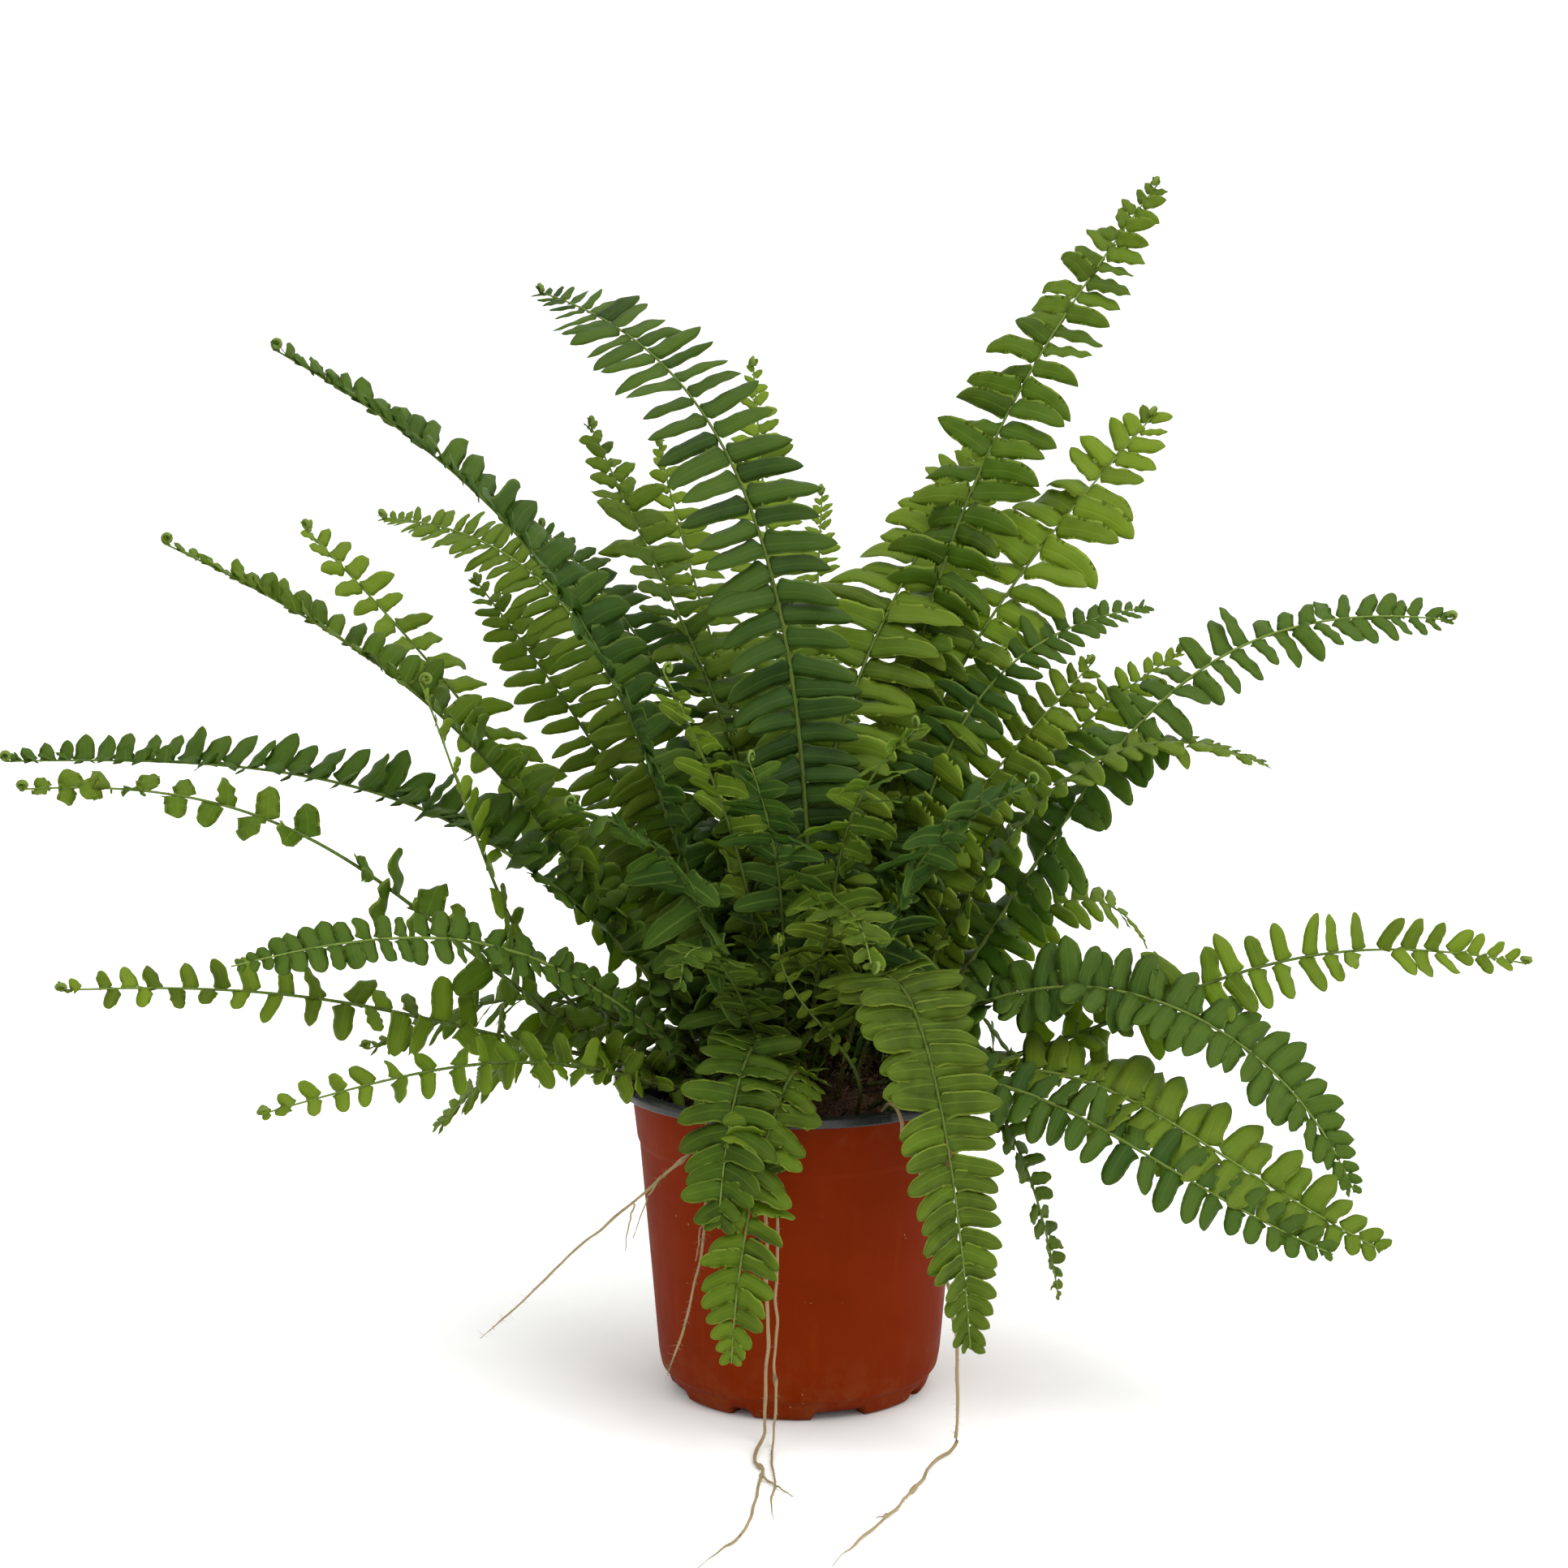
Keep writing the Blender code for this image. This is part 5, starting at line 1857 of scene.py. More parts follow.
@dataclass
class FrondGrower:
    """Grows one frond: its stalk, leaflets, tip coil, hairs and scales.

    Attributes:
        node: Name of the frond in the frame.
        habit: How its leaflets grow.
        slot: Its material slot, which gives its leaf colour.
        pot: The pot that the leaflets keep clear of.
        stalk_radius: Stalk radius at the foot and at the tip.
        skin: Greatest thickness of a leaflet.
        ears: Size of the lobe at a leaflet's base, towards the tip and towards the foot.
        coil_turn: How far a coiled tip turns, in degrees.
        coil_radius: Radius of the coil where it starts and at its end.
        coil_steps: Points along the coil.
        grid: Mesh fineness of the leaflets.
        stalk_area: Where the stalk goes in the bake map.
        scale_area: Where the scales go in the bake map.
        open_length: Length of the frond without its coil.
        rng: The frond's own random source.
    """

    node: str
    habit: Habit
    slot: Slot
    pot: NurseryPot
    stalk_radius: tuple[float, float] = (0.95 * MM, 0.30 * MM)
    skin: float = 0.26 * MM
    ears: tuple[float, float] = (0.26, 0.02)
    coil_turn: float = 430.0
    coil_radius: tuple[float, float] = (2.0 * MM, 0.5 * MM)
    coil_steps: int = 22
    grid: LeafGrid = LeafGrid()
    stalk_area: Cell = (0.005, 0.005, 0.99, 0.05)
    scale_area: Cell = (0.0, 0.065, 1.0, 0.05)
    open_length: float = field(init=False, default=0.0)
    rng: np.random.Generator = field(init=False)

    def __post_init__(self) -> None:
        """Seed the frond's own random source from its number."""
        self.rng = np.random.default_rng(1000 + int(self.node.split("_")[1]))

    def build(self, finishes: dict[str, bpy.types.Material]) -> bpy.types.Object:
        """Make the frond.

        Args:
            finishes: The plant's materials by name.

        Returns:
            The finished frond.
        """
        stem = Stem.of_frond(self.node)
        roll = np.full(len(stem.side), math.radians(self.habit.turn))
        stem.side = spun(stem.side, stem.ahead, roll)
        stem.face = np.cross(stem.ahead, stem.side)
        stem.blade_start *= self.habit.bare
        self.open_length = stem.length
        if self.habit.tip is Tip.CROZIER:
            stem = self.with_crozier(stem)
        parts = MeshParts()
        leaflets = self.lay_out(stem)
        self.add_leaflets(parts, leaflets)
        self.add_stalk(parts, stem)
        self.add_scales(parts, stem)
        materials = [finishes[f"{self.slot.value}_upper"], finishes[f"{self.slot.value}_under"],
                     finishes["rachis_skin"], finishes["dry_scale"]]
        frond = parts.to_object(f"leafy_{self.node}", materials)
        return place(frond, self.slot, self.node)

    def with_crozier(self, stem: Stem) -> Stem:
        """Coil the frond's last stretch up over its face, as an unrolling tip does.

        Args:
            stem: The frond's line.

        Returns:
            The line with its coil.
        """
        count = self.coil_steps
        turn = np.linspace(0, math.radians(self.coil_turn), count)
        radius = np.linspace(*self.coil_radius, count)
        steps = np.cos(turn)[:, None] * stem.ahead[-1] + np.sin(turn)[:, None] * stem.face[-1]
        steps = steps * (radius * (turn[1] - turn[0]))[:, None]
        lean = np.linspace(0, 1, count)[:, None] * stem.side[-1] * 0.8 * MM
        coil = stem.points[-1] + np.cumsum(steps, axis=0) + lean
        points = np.concatenate([stem.points, coil])
        sides = np.concatenate([stem.side, np.broadcast_to(stem.side[-1], (count, 3))])
        return Stem.from_points(points, sides, stem.blade_start)

    def stalk_radii(self, stem: Stem) -> np.ndarray:
        """Find how thick the stalk is.

        Args:
            stem: The frond's line.

        Returns:
            Radius of the stalk at each of its points.
        """
        share = np.clip(stem.marks / self.open_length, 0, 1)
        thick, thin = self.stalk_radius
        scale = 0.66 + 0.34 * min(1.0, stem.length / 0.22)
        coil = np.clip((stem.marks - self.open_length) / (6 * MM), 0, 1)
        return (thin + (thick - thin) * (1 - share) ** 1.1) * scale * (1 + 1.5 * coil)

    def grown(self, share: np.ndarray) -> np.ndarray:
        """Find how long the leaflets are along the blade.

        Args:
            share: Shares of the blade.

        Returns:
            Length of a leaflet at each, as a share of the longest.
        """
        full = self.habit.full
        places = [0.0, 0.07, 0.2, 0.34, full, (1 + full) / 2, 0.90, 0.96, 1.0]
        sizes = [0.56, 0.78, 0.94, 1.0, 0.96, 0.76, 0.56, 0.40, 0.22]
        return np.interp(share, places, sizes)

    def lay_out(self, stem: Stem) -> Leaflets:
        """Set the leaflets along both sides of the blade, a little out of step.

        Args:
            stem: The frond's line.

        Returns:
            The leaflets' places and directions.
        """
        habit = self.habit
        rng = self.rng
        blade = self.open_length - stem.blade_start
        marks, hands = [], []
        for hand, offset in ((1, 0.0), (-1, 0.5)):
            mark = stem.blade_start + offset * habit.spacing * habit.leaf * MM * 0.8
            while mark < stem.length - 0.5 * MM:
                marks.append(mark)
                hands.append(hand)
                share = (mark - stem.blade_start) / blade
                pitch = habit.spacing * habit.leaf * MM * np.interp(share, *PITCH_ALONG)
                mark += max(1.3 * MM, pitch) * rng.uniform(0.88, 1.12)
        marks, hands = np.array(marks), np.array(hands, float)
        kept = rng.random(len(marks)) >= habit.missing
        marks, hands = marks[kept], hands[kept]
        share = (marks - stem.blade_start) / blade
        count = len(marks)
        foot = stem.read(stem.points, marks)
        ahead = unit(stem.read(stem.ahead, marks))
        side = flatten_to(stem.read(stem.side, marks), ahead)
        face = np.cross(ahead, side)
        spread = math.radians(habit.scatter) * np.interp(share, *SPREAD_ALONG)
        drift = smooth_noise(marks, 45 * MM, rng) * spread
        lean = np.radians(np.interp(share, [0, 0.15, 0.5, 0.85, 1.0, 1.05],
                                    [-14, -4, habit.forward, habit.forward + 16, 48, 75]))
        lean = lean + rng.normal(0, spread * 0.55, count)
        lift = math.radians(habit.fold) + rng.normal(0, spread * 0.7, count) + drift * 0.5
        lift = lift + np.where(share > 1, 0.9, 0.0)
        across = side * hands[:, None]
        flat = across * np.cos(lean)[:, None] + ahead * np.sin(lean)[:, None]
        out = unit(flat * np.cos(lift)[:, None] + face * np.sin(lift)[:, None])
        up = flatten_to(face, out)
        roll = rng.normal(0, spread * 1.1, count) + hands * drift
        up = spun(up, out, roll)
        radius = np.interp(marks, stem.marks, self.stalk_radii(stem))
        foot = foot + across * radius[:, None] * 0.35 + face * radius[:, None] * 0.3
        length = habit.leaf * MM * self.grown(share)
        swell = 1 + 0.09 * smooth_noise(marks, 30 * MM, rng)
        length = length * swell * rng.uniform(0.88, 1.08, count)
        length = np.where(share > 1, rng.uniform(2.2, 3.2, count) * MM, length)
        return Leaflets(foot, out, up, ahead, hands, length, np.minimum(share, 1.0))

    def half_width(self, along: np.ndarray, ear: float) -> np.ndarray:
        """Half of a leaflet's outline, as a share of its greatest half width.

        Args:
            along: Places along the leaflet, from 0 to 1.
            ear: Size of the rounded lobe at the base.

        Returns:
            One value for each place.
        """
        base = np.sqrt(np.clip(1 - (1 - np.clip(along / 0.07, 0, 1)) ** 2, 0, 1))
        point = self.habit.point
        full = 0.66 - 0.34 * point
        tip = (1 - np.clip((along - full) / (1 - full), 0, 1) ** 2.3) ** (0.50 + 0.45 * point)
        lobe = 1 + ear * np.exp(-((along - 0.08) / 0.09) ** 2)
        return np.maximum(base, 0.40) * np.maximum(tip, 0.03) * lobe * (1 - 0.06 * along)

    def add_leaflets(self, parts: MeshParts, leaves: Leaflets) -> None:
        """Shape every leaflet as a thin closed lens and add them all.

        Args:
            parts: Mesh that takes them.
            leaves: Where the leaflets sit.
        """
        grid = self.grid
        rng = self.rng
        count = len(leaves.length)
        along = 0.5 - 0.5 * np.cos(np.linspace(0, math.pi, grid.rows))
        along = 0.45 * along + 0.55 * np.linspace(0, 1, grid.rows)
        across = np.linspace(-1, 1, grid.columns)
        line, ahead, normal = self.bend(leaves, along)
        wide = np.cross(normal, ahead)
        width = self.habit.width / 2 * np.interp(leaves.share, *BREADTH_ALONG)
        width = width * rng.uniform(0.93, 1.08, count) * leaves.length
        front = self.half_width(along, self.ears[0]) * 1.06
        back = self.half_width(along, self.ears[1]) * 0.86
        scallop = 1 - 0.05 * np.abs(np.sin(math.pi * grid.teeth * (along - 0.06)))
        front = front * scallop
        back = back * scallop
        toward_tip = across[None, :] * leaves.hand[:, None] < 0
        outline = np.where(toward_tip[:, None, :], front[None, :, None], back[None, :, None])
        reach = outline * across * width[:, None, None]
        phase = rng.uniform(0, 2 * math.pi, (count, 1, 1))
        ripples = rng.uniform(1.4, 3.0, (count, 1, 1))
        ripple = np.sin(2 * math.pi * ripples * along[None, :, None] + phase
                        + np.sign(across) * 0.9)
        cup = rng.normal(-0.16, 0.14, (count, 1, 1))
        rise = (cup * np.abs(across) ** 1.6
                + 0.15 * self.habit.wave * ripple * np.abs(across) ** 1.5)
        rise = rise * width[:, None, None] * np.sqrt(np.clip(outline, 0, 1))
        middle = (line[:, :, None] + wide[:, :, None] * reach[..., None]
                  + normal[:, :, None] * rise[..., None])
        thick = self.skin / 2 * np.interp(np.abs(across), *SKIN_ACROSS)
        thick = thick * np.sin(math.pi * np.clip(along, 0.0, 1.0))[:, None] ** 0.35
        thick[0] = thick[-1] = 0.0
        offset = normal[:, :, None] * thick[None, :, :, None]
        upper = self.clear_of_pot(middle + offset, leaves.foot)
        under = self.clear_of_pot(middle - offset, leaves.foot)
        rows, columns = grid.rows, grid.columns
        inner = under[:, 1:-1, 1:-1].reshape(count, -1, 3)
        points = np.concatenate([upper.reshape(count, -1, 3), inner], axis=1)
        each = points.shape[1]
        faces, slots = grid.faces()
        shift = (np.arange(count) * each)[:, None, None]
        values = {"along": np.broadcast_to(along[:, None], (rows, columns)),
                  "across": np.broadcast_to(across[None], (rows, columns))}
        values = {name: np.tile(grid.shared(value), count) for name, value in values.items()}
        tint = np.clip(0.5 + 0.5 * self.habit.shade + rng.normal(0, 0.18, count), 0, 1)
        age = np.clip(leaves.share + self.habit.age, 0, 1.2)
        parts.add(points.reshape(-1, 3), (faces[None] + shift).reshape(-1, 4),
                  np.tile(slots, count), self.leaf_maps(count, rows, columns),
                  tint=np.repeat(tint, each), age=np.repeat(age, each), **values)

    def leaf_maps(self, count: int, rows: int, columns: int) -> np.ndarray:
        """Give the upper and under side of every leaflet a cell of the bake map.

        Args:
            count: Number of leaflets.
            rows: Points along a leaflet.
            columns: Points across it.

        Returns:
            The places of each face's corners, shaped (faces, 4, 2).
        """
        total = 2 * count
        wide = max(1, math.ceil(math.sqrt(total / 3)))
        high = math.ceil(total / wide)
        base = grid_map(rows, columns, (0.04, 0.06, 0.92, 0.88))
        both = np.stack([base, base[:, ::-1]])
        row, column = np.divmod(np.arange(total), wide)
        corner = np.stack([column, row], 1).reshape(count, 2, 1, 1, 2)
        area = np.array([1.0 / wide, 0.88 / high])
        return ((corner + both[None]) * area + [0.0, 0.12]).reshape(-1, 4, 2)

    def bend(self, leaves: Leaflets,
             along: np.ndarray) -> tuple[np.ndarray, np.ndarray, np.ndarray]:
        """Run each leaflet's midrib out, hanging and curving ahead as it goes.

        Args:
            leaves: Where the leaflets sit.
            along: Places along a leaflet, from 0 to 1.

        Returns:
            Points, tangents and normals, each shaped (leaflets, places, 3).
        """
        rng = self.rng
        count = len(leaves.length)
        habit = self.habit
        hang = habit.droop * rng.uniform(0.45, 1.5, count) * np.interp(leaves.share, *HANG_ALONG)
        curve = habit.sickle + rng.normal(0, 0.12, count)
        flick = rng.normal(0, 0.30, count) * habit.wave
        place_on = along[None, :, None]
        ahead = unit(leaves.out[:, None]
                     + DOWN * (hang[:, None, None] * place_on ** 1.5)
                     + leaves.ahead[:, None] * (curve[:, None, None] * place_on ** 1.5)
                     + leaves.up[:, None] * (flick[:, None, None] * place_on ** 3))
        step = np.diff(along)[None, :, None] * leaves.length[:, None, None]
        run = np.cumsum((ahead[:, 1:] + ahead[:, :-1]) / 2 * step, axis=1)
        line = leaves.foot[:, None] + np.concatenate([np.zeros((count, 1, 3)), run], axis=1)
        normal = flatten_to(np.broadcast_to(leaves.up[:, None], ahead.shape), ahead)
        twist = rng.normal(0, math.radians(habit.scatter) * 1.2, count)
        normal = spun(normal, ahead, twist[:, None] * along[None])
        return line, ahead, normal

    def clear_of_pot(self, points: np.ndarray, feet: np.ndarray) -> np.ndarray:
        """Keep leaflets out of the pot's wall and off the ground.

        Args:
            points: Points of the leaflets, the first axis being the leaflet.
            feet: Where each leaflet is attached.

        Returns:
            The points, moved where they have to be.
        """
        room = 0.8 * MM
        pot = self.pot
        shape = (len(feet),) + (1,) * (points.ndim - 2)
        radius = np.hypot(points[..., 0], points[..., 1])
        outer = pot.outer_radius(points[..., 2]) + room
        inner = pot.outer_radius(np.minimum(points[..., 2], 0.098)) - pot.wall - room
        outside = (np.hypot(feet[:, 0], feet[:, 1]) > 54 * MM).reshape(shape)
        low = points[..., 2] < pot.height + room
        wanted = np.where(outside, np.maximum(radius, outer), np.minimum(radius, inner))
        scale = np.where(low, wanted / np.maximum(radius, 1e-6), 1.0)
        moved = points.copy()
        moved[..., :2] *= scale[..., None]
        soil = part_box("potting_soil")[1].z + 0.5 * MM
        least = np.where(np.hypot(moved[..., 0], moved[..., 1]) < 51 * MM, soil, 0.5 * MM)
        moved[..., 2] = np.maximum(moved[..., 2], least)
        return moved

    def add_stalk(self, parts: MeshParts, stem: Stem) -> None:
        """Add the stalk as a tube from the crown to the frond's tip.

        Args:
            parts: Mesh that takes it.
            stem: The frond's line.
        """
        total = len(stem.points)
        every = max(1, total // 90)
        coil = np.arange(max(0, total - self.coil_steps), total)
        pick = np.unique(np.concatenate([np.arange(0, total, every), coil]))
        thin = Stem(stem.points[pick], stem.ahead[pick], stem.side[pick], stem.face[pick],
                    stem.marks[pick], stem.blade_start)
        radii = self.stalk_radii(stem)[pick]
        tube(parts, thin, radii, 2, self.stalk_area, sides=8,
             age=thin.marks / stem.length, tint=0.5 + 0.5 * self.habit.shade)

    def add_scales(self, parts: MeshParts, stem: Stem) -> None:
        """Set papery scales on the lower stalk and fine hairs further out.

        Args:
            parts: Mesh that takes them.
            stem: The frond's line.
        """
        rng = self.rng
        count = int(80 + 520 * stem.length)
        share = rng.random(count) ** 1.7
        marks = share * stem.length * 0.985
        foot = stem.read(stem.points, marks)
        side = stem.read(stem.side, marks)
        face = stem.read(stem.face, marks)
        ahead = unit(stem.read(stem.ahead, marks))
        turn = rng.uniform(0, 2 * math.pi, count)
        out = unit(side * np.cos(turn)[:, None] + face * np.sin(turn)[:, None])
        radius = np.interp(marks, stem.marks, self.stalk_radii(stem))
        bases = foot + out * radius[:, None] * 0.8
        reach = rng.uniform(0.5, 1.0, count) * np.interp(share, *SCALE_LENGTH_ALONG) * MM
        lean = rng.uniform(-0.2, 1.1, count)[:, None]
        tips = bases + unit(out + ahead * lean + rng.normal(0, 0.25, out.shape)) * reach[:, None]
        width = np.interp(share, *SCALE_WIDTH_ALONG) * MM
        spikes(parts, bases, tips, width, 3, self.scale_area, tint=rng.random(count))


# ---- Runners ----


@dataclass(frozen=True)
class RunnerHabit:
    """How one runner looks.

    Attributes:
        radius: Radius of its stem.
        hairs: Root hairs for each millimetre.
        hair: Greatest length of a hair, in millimetres.
        forks: Share of the length, bearing, and length in millimetres, of each side root.
        knots: Shares of the length at which the stem swells.
    """

    radius: float = 0.60 * MM
    hairs: float = 1.2
    hair: float = 2.2
    forks: tuple[tuple[float, float, float], ...] = ()
    knots: tuple[float, ...] = ()


RUNNER_HABITS: dict[str, RunnerHabit] = {
    "runner_1": RunnerHabit(0.62 * MM, 0.9, 1.6, forks=((0.66, -60, 20), (0.30, -120, 9)),
                            knots=(0.62, 0.66)),
    "runner_2": RunnerHabit(0.50 * MM, 0.8, 1.4, knots=(0.55,)),
    "runner_3": RunnerHabit(0.62 * MM, 0.9, 1.8, forks=((0.80, -150, 6),), knots=(0.70, 0.71)),
    "runner_4": RunnerHabit(0.50 * MM, 1.6, 3.4, forks=((0.45, 250, 14), (0.36, 215, 18)),
                            knots=(0.3,)),
    "runner_5": RunnerHabit(0.52 * MM, 2.2, 3.2, forks=((0.5, 250, 12),)),
}


@dataclass
class RunnerGrower:
    """Grows one runner: a lumpy stem with root hairs and side roots.

    Attributes:
        node: Name of the runner in the frame.
        habit: How it looks.
        hair_width: Width of a hair at its foot.
        stem_area: Where the stem goes in the bake map.
        hair_area: Where the hairs go in the bake map.
    """

    node: str
    habit: RunnerHabit
    hair_width: float = 0.13 * MM
    stem_area: Cell = (0.0, 0.0, 1.0, 0.3)
    hair_area: Cell = (0.0, 0.6, 1.0, 0.38)

    def build(self, finishes: dict[str, bpy.types.Material]) -> bpy.types.Object:
        """Make the runner.

        Args:
            finishes: The plant's materials by name.

        Returns:
            The finished runner.
        """
        rng = np.random.default_rng(300 + int(self.node.split("_")[1]))
        stem = Stem.of_runner(self.node, 1.2 * MM)
        stem = self.wobbled(stem, rng)
        parts = MeshParts()
        radii = self.radii(stem, rng)
        tube(parts, stem, radii, 0, self.stem_area, sides=8)
        self.add_hairs(parts, stem, radii, rng)
        for index, fork in enumerate(self.habit.forks):
            self.add_fork(parts, stem, fork, rng, index)
        runner = parts.to_object(f"hairy_{self.node}", [finishes["runner_skin"],
                                                        finishes["root_hair"]])
        return place(runner, Slot.RUNNER, self.node)

    def wobbled(self, stem: Stem, rng: np.random.Generator) -> Stem:
        """Give the line the small crooks of a dry stem.

        Args:
            stem: The runner's line.
            rng: Random source.

        Returns:
            The crooked line.
        """
        size = 0.5 * MM * np.minimum(1, stem.marks / (12 * MM))[:, None]
        points = (stem.points + stem.side * smooth_noise(stem.marks, 9 * MM, rng)[:, None] * size
                  + stem.face * smooth_noise(stem.marks, 7 * MM, rng)[:, None] * size)
        points[:, 2] = np.maximum(points[:, 2], self.habit.radius * 1.5)
        return Stem.from_points(points, stem.side, 0.0)

    def radii(self, stem: Stem, rng: np.random.Generator) -> np.ndarray:
        """Find how thick the stem is, with its lumps and knots and a thinning end.

        Args:
            stem: The runner's line.
            rng: Random source.

        Returns:
            Radius at each of the line's points.
        """
        share = stem.marks / stem.length
        radii = self.habit.radius * (1.12 - 0.5 * share) * (
            1 + 0.16 * smooth_noise(stem.marks, 5 * MM, rng))
        for knot in self.habit.knots:
            radii = radii * (1 + 0.9 * np.exp(-((share - knot) * stem.length / (1.6 * MM)) ** 2))
        radii = radii * np.clip((1 - share) * 12, 0.35, 1)
        return np.minimum(radii, stem.points[:, 2] - 0.05 * MM)

    def add_hairs(self, parts: MeshParts, stem: Stem, radii: np.ndarray,
                  rng: np.random.Generator) -> None:
        """Set fine hairs all round the stem.

        Args:
            parts: Mesh that takes them.
            stem: The runner's line.
            radii: Radius at each of its points.
            rng: Random source.
        """
        count = int(self.habit.hairs * stem.length / MM)
        marks = rng.random(count) * stem.length
        turn = rng.uniform(0, 2 * math.pi, count)
        side = stem.read(stem.side, marks)
        face = stem.read(stem.face, marks)
        out = unit(side * np.cos(turn)[:, None] + face * np.sin(turn)[:, None])
        radius = np.interp(marks, stem.marks, radii)
        bases = stem.read(stem.points, marks) + out * radius[:, None] * 0.7
        reach = (rng.random(count) ** 2.0 * self.habit.hair + 0.4) * MM
        way = unit(out + stem.read(stem.ahead, marks) * rng.normal(0.3, 0.6, count)[:, None])
        tips = bases + way * reach[:, None]
        tips[:, 2] = np.maximum(tips[:, 2], 0.1 * MM)
        spikes(parts, bases, tips, self.hair_width, 1, self.hair_area, tint=rng.random(count))

    def add_fork(self, parts: MeshParts, stem: Stem, fork: tuple[float, float, float],
                 rng: np.random.Generator, index: int) -> None:
        """Add one side root that hangs or creeps away from the stem.

        Args:
            parts: Mesh that takes it.
            stem: The runner's line.
            fork: Share of the line, bearing, and length in millimetres.
            rng: Random source.
            index: Which of the side roots it is.
        """
        share, bearing, length = fork
        mark = np.array([share * stem.length])
        foot = stem.read(stem.points, mark)[0]
        turn = math.radians(bearing)
        out = np.array([math.cos(turn), math.sin(turn), 0.0])
        count = 12
        marks = np.linspace(0, 1, count)[:, None]
        sink = min(1.0, foot[2] / (length * MM))
        line = foot + out * length * MM * marks * (1 - 0.4 * sink) + DOWN * (
            length * MM * sink * marks ** 1.5)
        line[1:] += rng.normal(0, 0.25, (count - 1, 3)) * MM
        line[:, 2] = np.maximum(line[:, 2], 0.55 * MM)
        line = through_points(line, 1.0 * MM)
        root = Stem.from_points(line, np.tile([0.3, 0.2, 0.9], (len(line), 1)), 0.0)
        thin = np.linspace(0.7, 0.25, len(line)) * self.habit.radius
        cell = (0.0, 0.32 + 0.12 * index, 1.0, 0.1)
        tube(parts, root, thin, 0, cell, sides=6)


# ---- Studio ----


@dataclass(frozen=True)
class Lamp:
    """A soft square light that looks at the plant's middle.

    Attributes:
        name: Name of the light.
        place: Where it hangs.
        size: Length of its side.
        power: Its power, in watts.
        target: The point that it looks at.
    """

    name: str
    place: tuple[float, float, float]
    size: float
    power: float
    target: tuple[float, float, float] = (0.0, 0.0, 0.15)

    def hang(self) -> None:
        """Hang the light and turn its -Z along the way to its target."""
        lamp = bpy.data.lights.new(self.name, 'AREA')
        lamp.energy = self.power
        lamp.size = self.size
        light = bpy.data.objects.new(self.name, lamp)
        light.location = self.place
        aim = np.array(self.target) - np.array(self.place)
        tilt = math.atan2(math.hypot(aim[0], aim[1]), -aim[2])
        light.rotation_euler = (tilt, 0.0, math.atan2(aim[1], aim[0]) - math.pi / 2)
        bpy.context.scene.collection.objects.link(light)


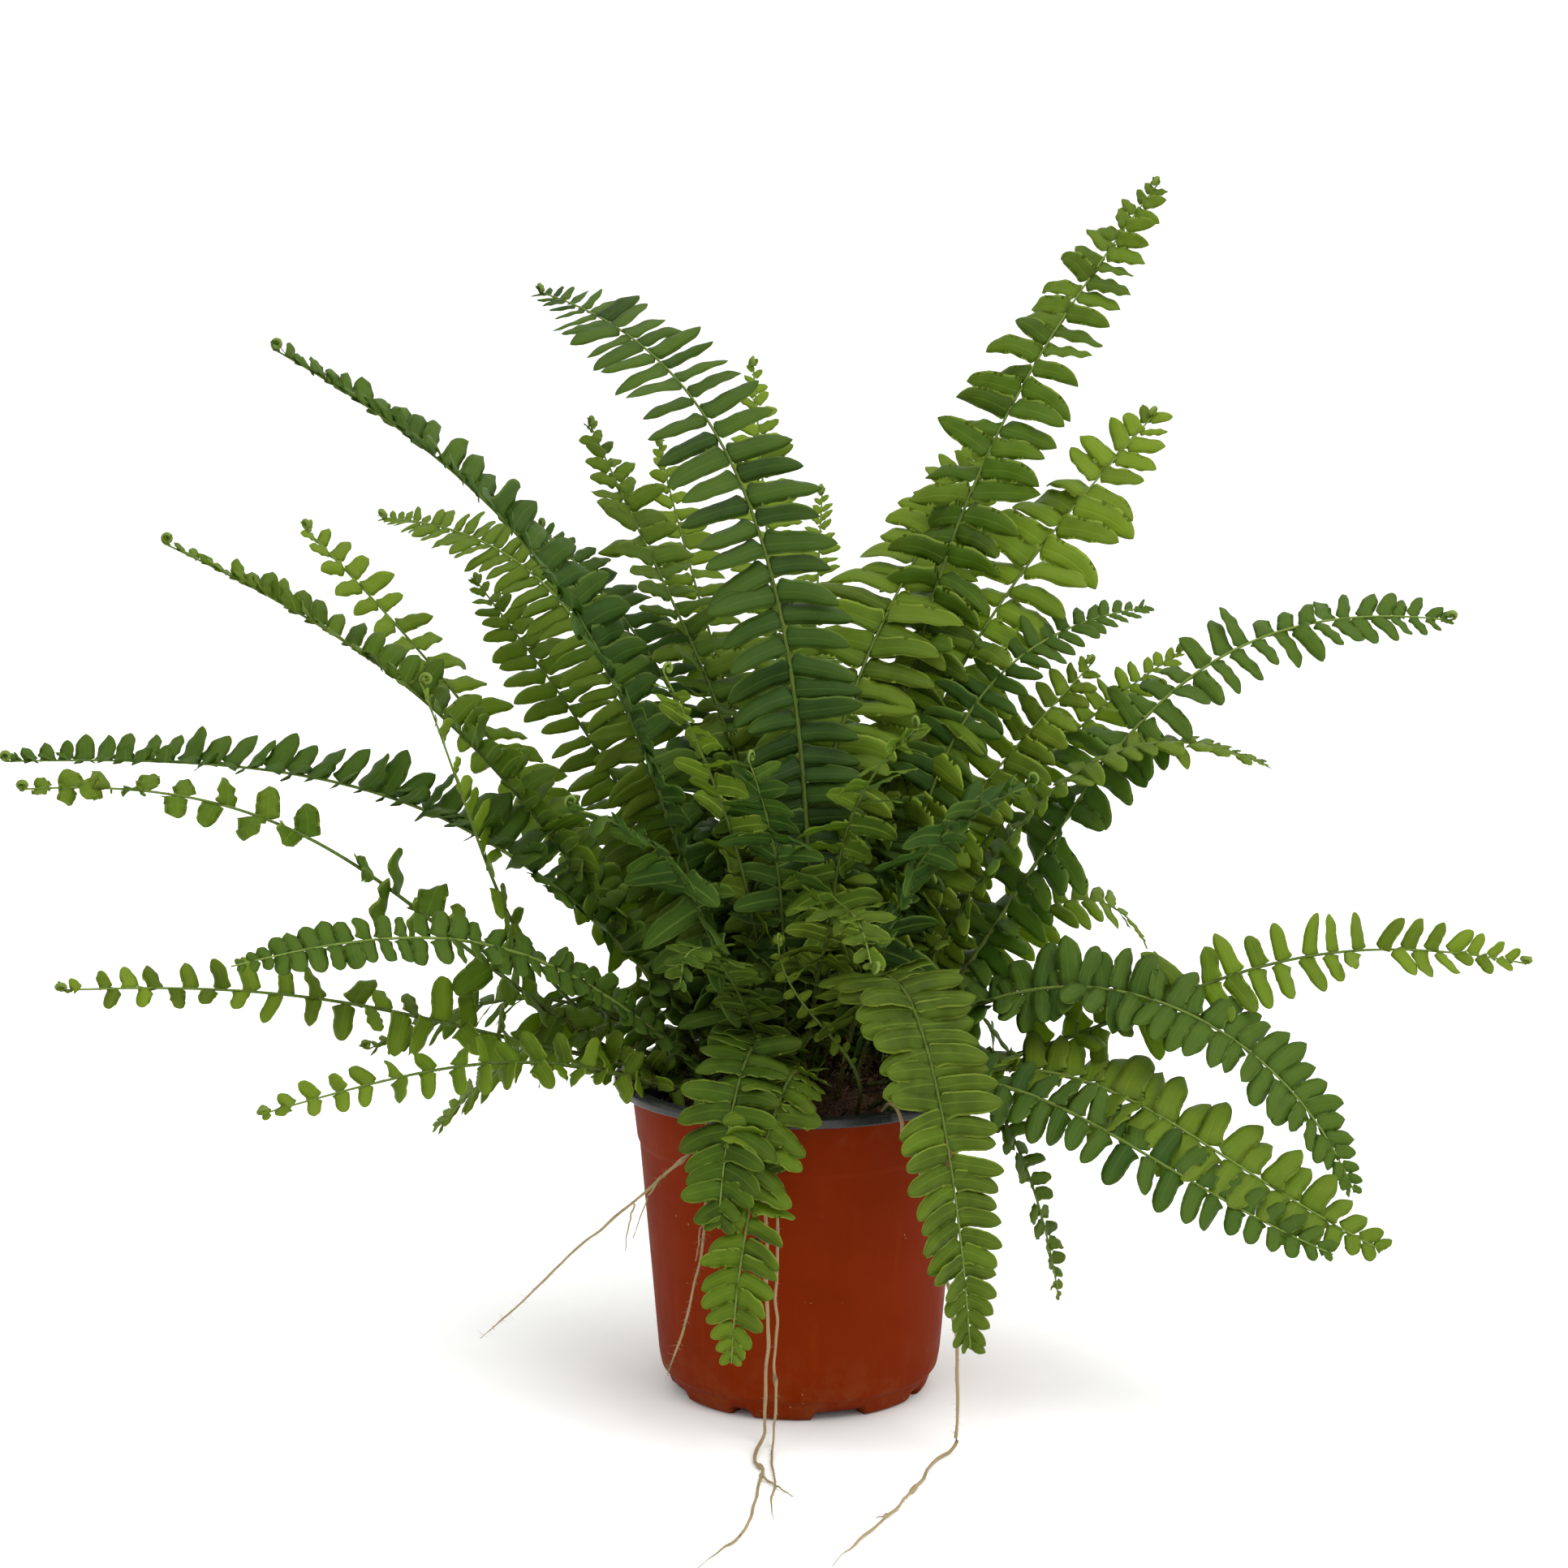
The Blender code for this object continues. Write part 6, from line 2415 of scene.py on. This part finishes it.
@dataclass(frozen=True)
class Studio:
    """Pale floor, white surroundings, soft lights and the camera.

    Attributes:
        eye: Place of the camera.
        pitch: How far the camera looks down, in degrees.
        lens: Focal length, in millimetres.
        sensor: Width of the sensor, in millimetres.
        white: Strength of the surroundings.
        lean: How much stronger they are from the right, and weaker from the left.
        reach: Half width of the floor.
        lamps: The lights.
    """

    eye: tuple[float, float, float] = (-0.005, -1.40, 0.466)
    pitch: float = 10.8
    lens: float = 102.48
    sensor: float = 36.0
    white: float = 1.34
    lean: float = 0.40
    reach: float = 60.0
    lamps: tuple[Lamp, ...] = (Lamp("key", (0.60, -0.70, 1.15), 0.80, 8.0),
                               Lamp("overhead", (-0.10, 0.10, 1.40), 1.40, 6.0))

    def build(self) -> None:
        """Set up the floor, the surroundings, the lights and the camera."""
        self.lay_floor()
        self.light_surroundings()
        for lamp in self.lamps:
            lamp.hang()
        self.set_camera()
        bpy.context.scene.view_settings.view_transform = 'Standard'
        bpy.context.scene.view_settings.look = 'None'

    def lay_floor(self) -> None:
        """Lay the floor that the pot stands on."""
        corners = [(x * self.reach, y * self.reach, 0.0)
                   for x, y in ((-1, -1), (1, -1), (1, 1), (-1, 1))]
        mesh = bpy.data.meshes.new("floor")
        mesh.from_pydata(corners, [], [(0, 1, 2, 3)])
        mesh.materials.append(FloorFinish().build())
        floor = bpy.data.objects.new("floor", mesh)
        bpy.context.scene.collection.objects.link(floor)

    def light_surroundings(self) -> None:
        """Make the world white, and a little brighter from the right."""
        world = bpy.data.worlds.new("studio")
        world.use_nodes = True
        nodes, links = world.node_tree.nodes, world.node_tree.links
        parts = nodes.new("ShaderNodeSeparateXYZ")
        links.new(nodes.new("ShaderNodeTexCoord").outputs["Generated"], parts.inputs["Vector"])
        lift = nodes.new("ShaderNodeMath")
        lift.operation = 'MULTIPLY_ADD'
        links.new(parts.outputs["X"], lift.inputs[0])
        lift.inputs[1].default_value = self.lean
        lift.inputs[2].default_value = self.white
        links.new(lift.outputs["Value"], nodes["Background"].inputs["Strength"])
        nodes["Background"].inputs["Color"].default_value = (1.0, 1.0, 1.0, 1.0)
        bpy.context.scene.world = world

    def set_camera(self) -> None:
        """Place the camera."""
        lens = bpy.data.cameras.new("camera")
        lens.lens = self.lens
        lens.sensor_width = self.sensor
        lens.clip_end = 5 * self.reach
        camera = bpy.data.objects.new("camera", lens)
        camera.location = self.eye
        camera.rotation_euler = (math.radians(90 - self.pitch), 0.0, 0.0)
        bpy.context.scene.collection.objects.link(camera)
        bpy.context.scene.camera = camera


# ---- Whole plant ----


def leaf_finishes() -> dict[str, bpy.types.Material]:
    """Make the materials that many pieces share.

    Returns:
        The materials by name.
    """
    made = [RachisFinish().build(), ScaleFinish().build(), RunnerFinish().build(),
            ScaleFinish("root_hair", (0.230, 0.165, 0.090), (0.420, 0.340, 0.220)).build()]
    for slot, tone in TONES.items():
        made += tone.value.skins(slot.value)
    return {material.name: material for material in made}


def main() -> None:
    """Build the plant in its pot, then the studio."""
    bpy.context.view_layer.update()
    finishes = leaf_finishes()
    pot = NurseryPot()
    pot.build()
    RootBall().build()
    Crown().build()
    slots = recorded_slots()
    for node, habit in HABITS.items():
        FrondGrower(node, habit, slots[node], pot).build(finishes)
    for node, habit in RUNNER_HABITS.items():
        RunnerGrower(node, habit).build(finishes)
    Studio().build()


if __name__ == "__main__":
    logging.basicConfig(level=logging.INFO, format="%(message)s")
    main()
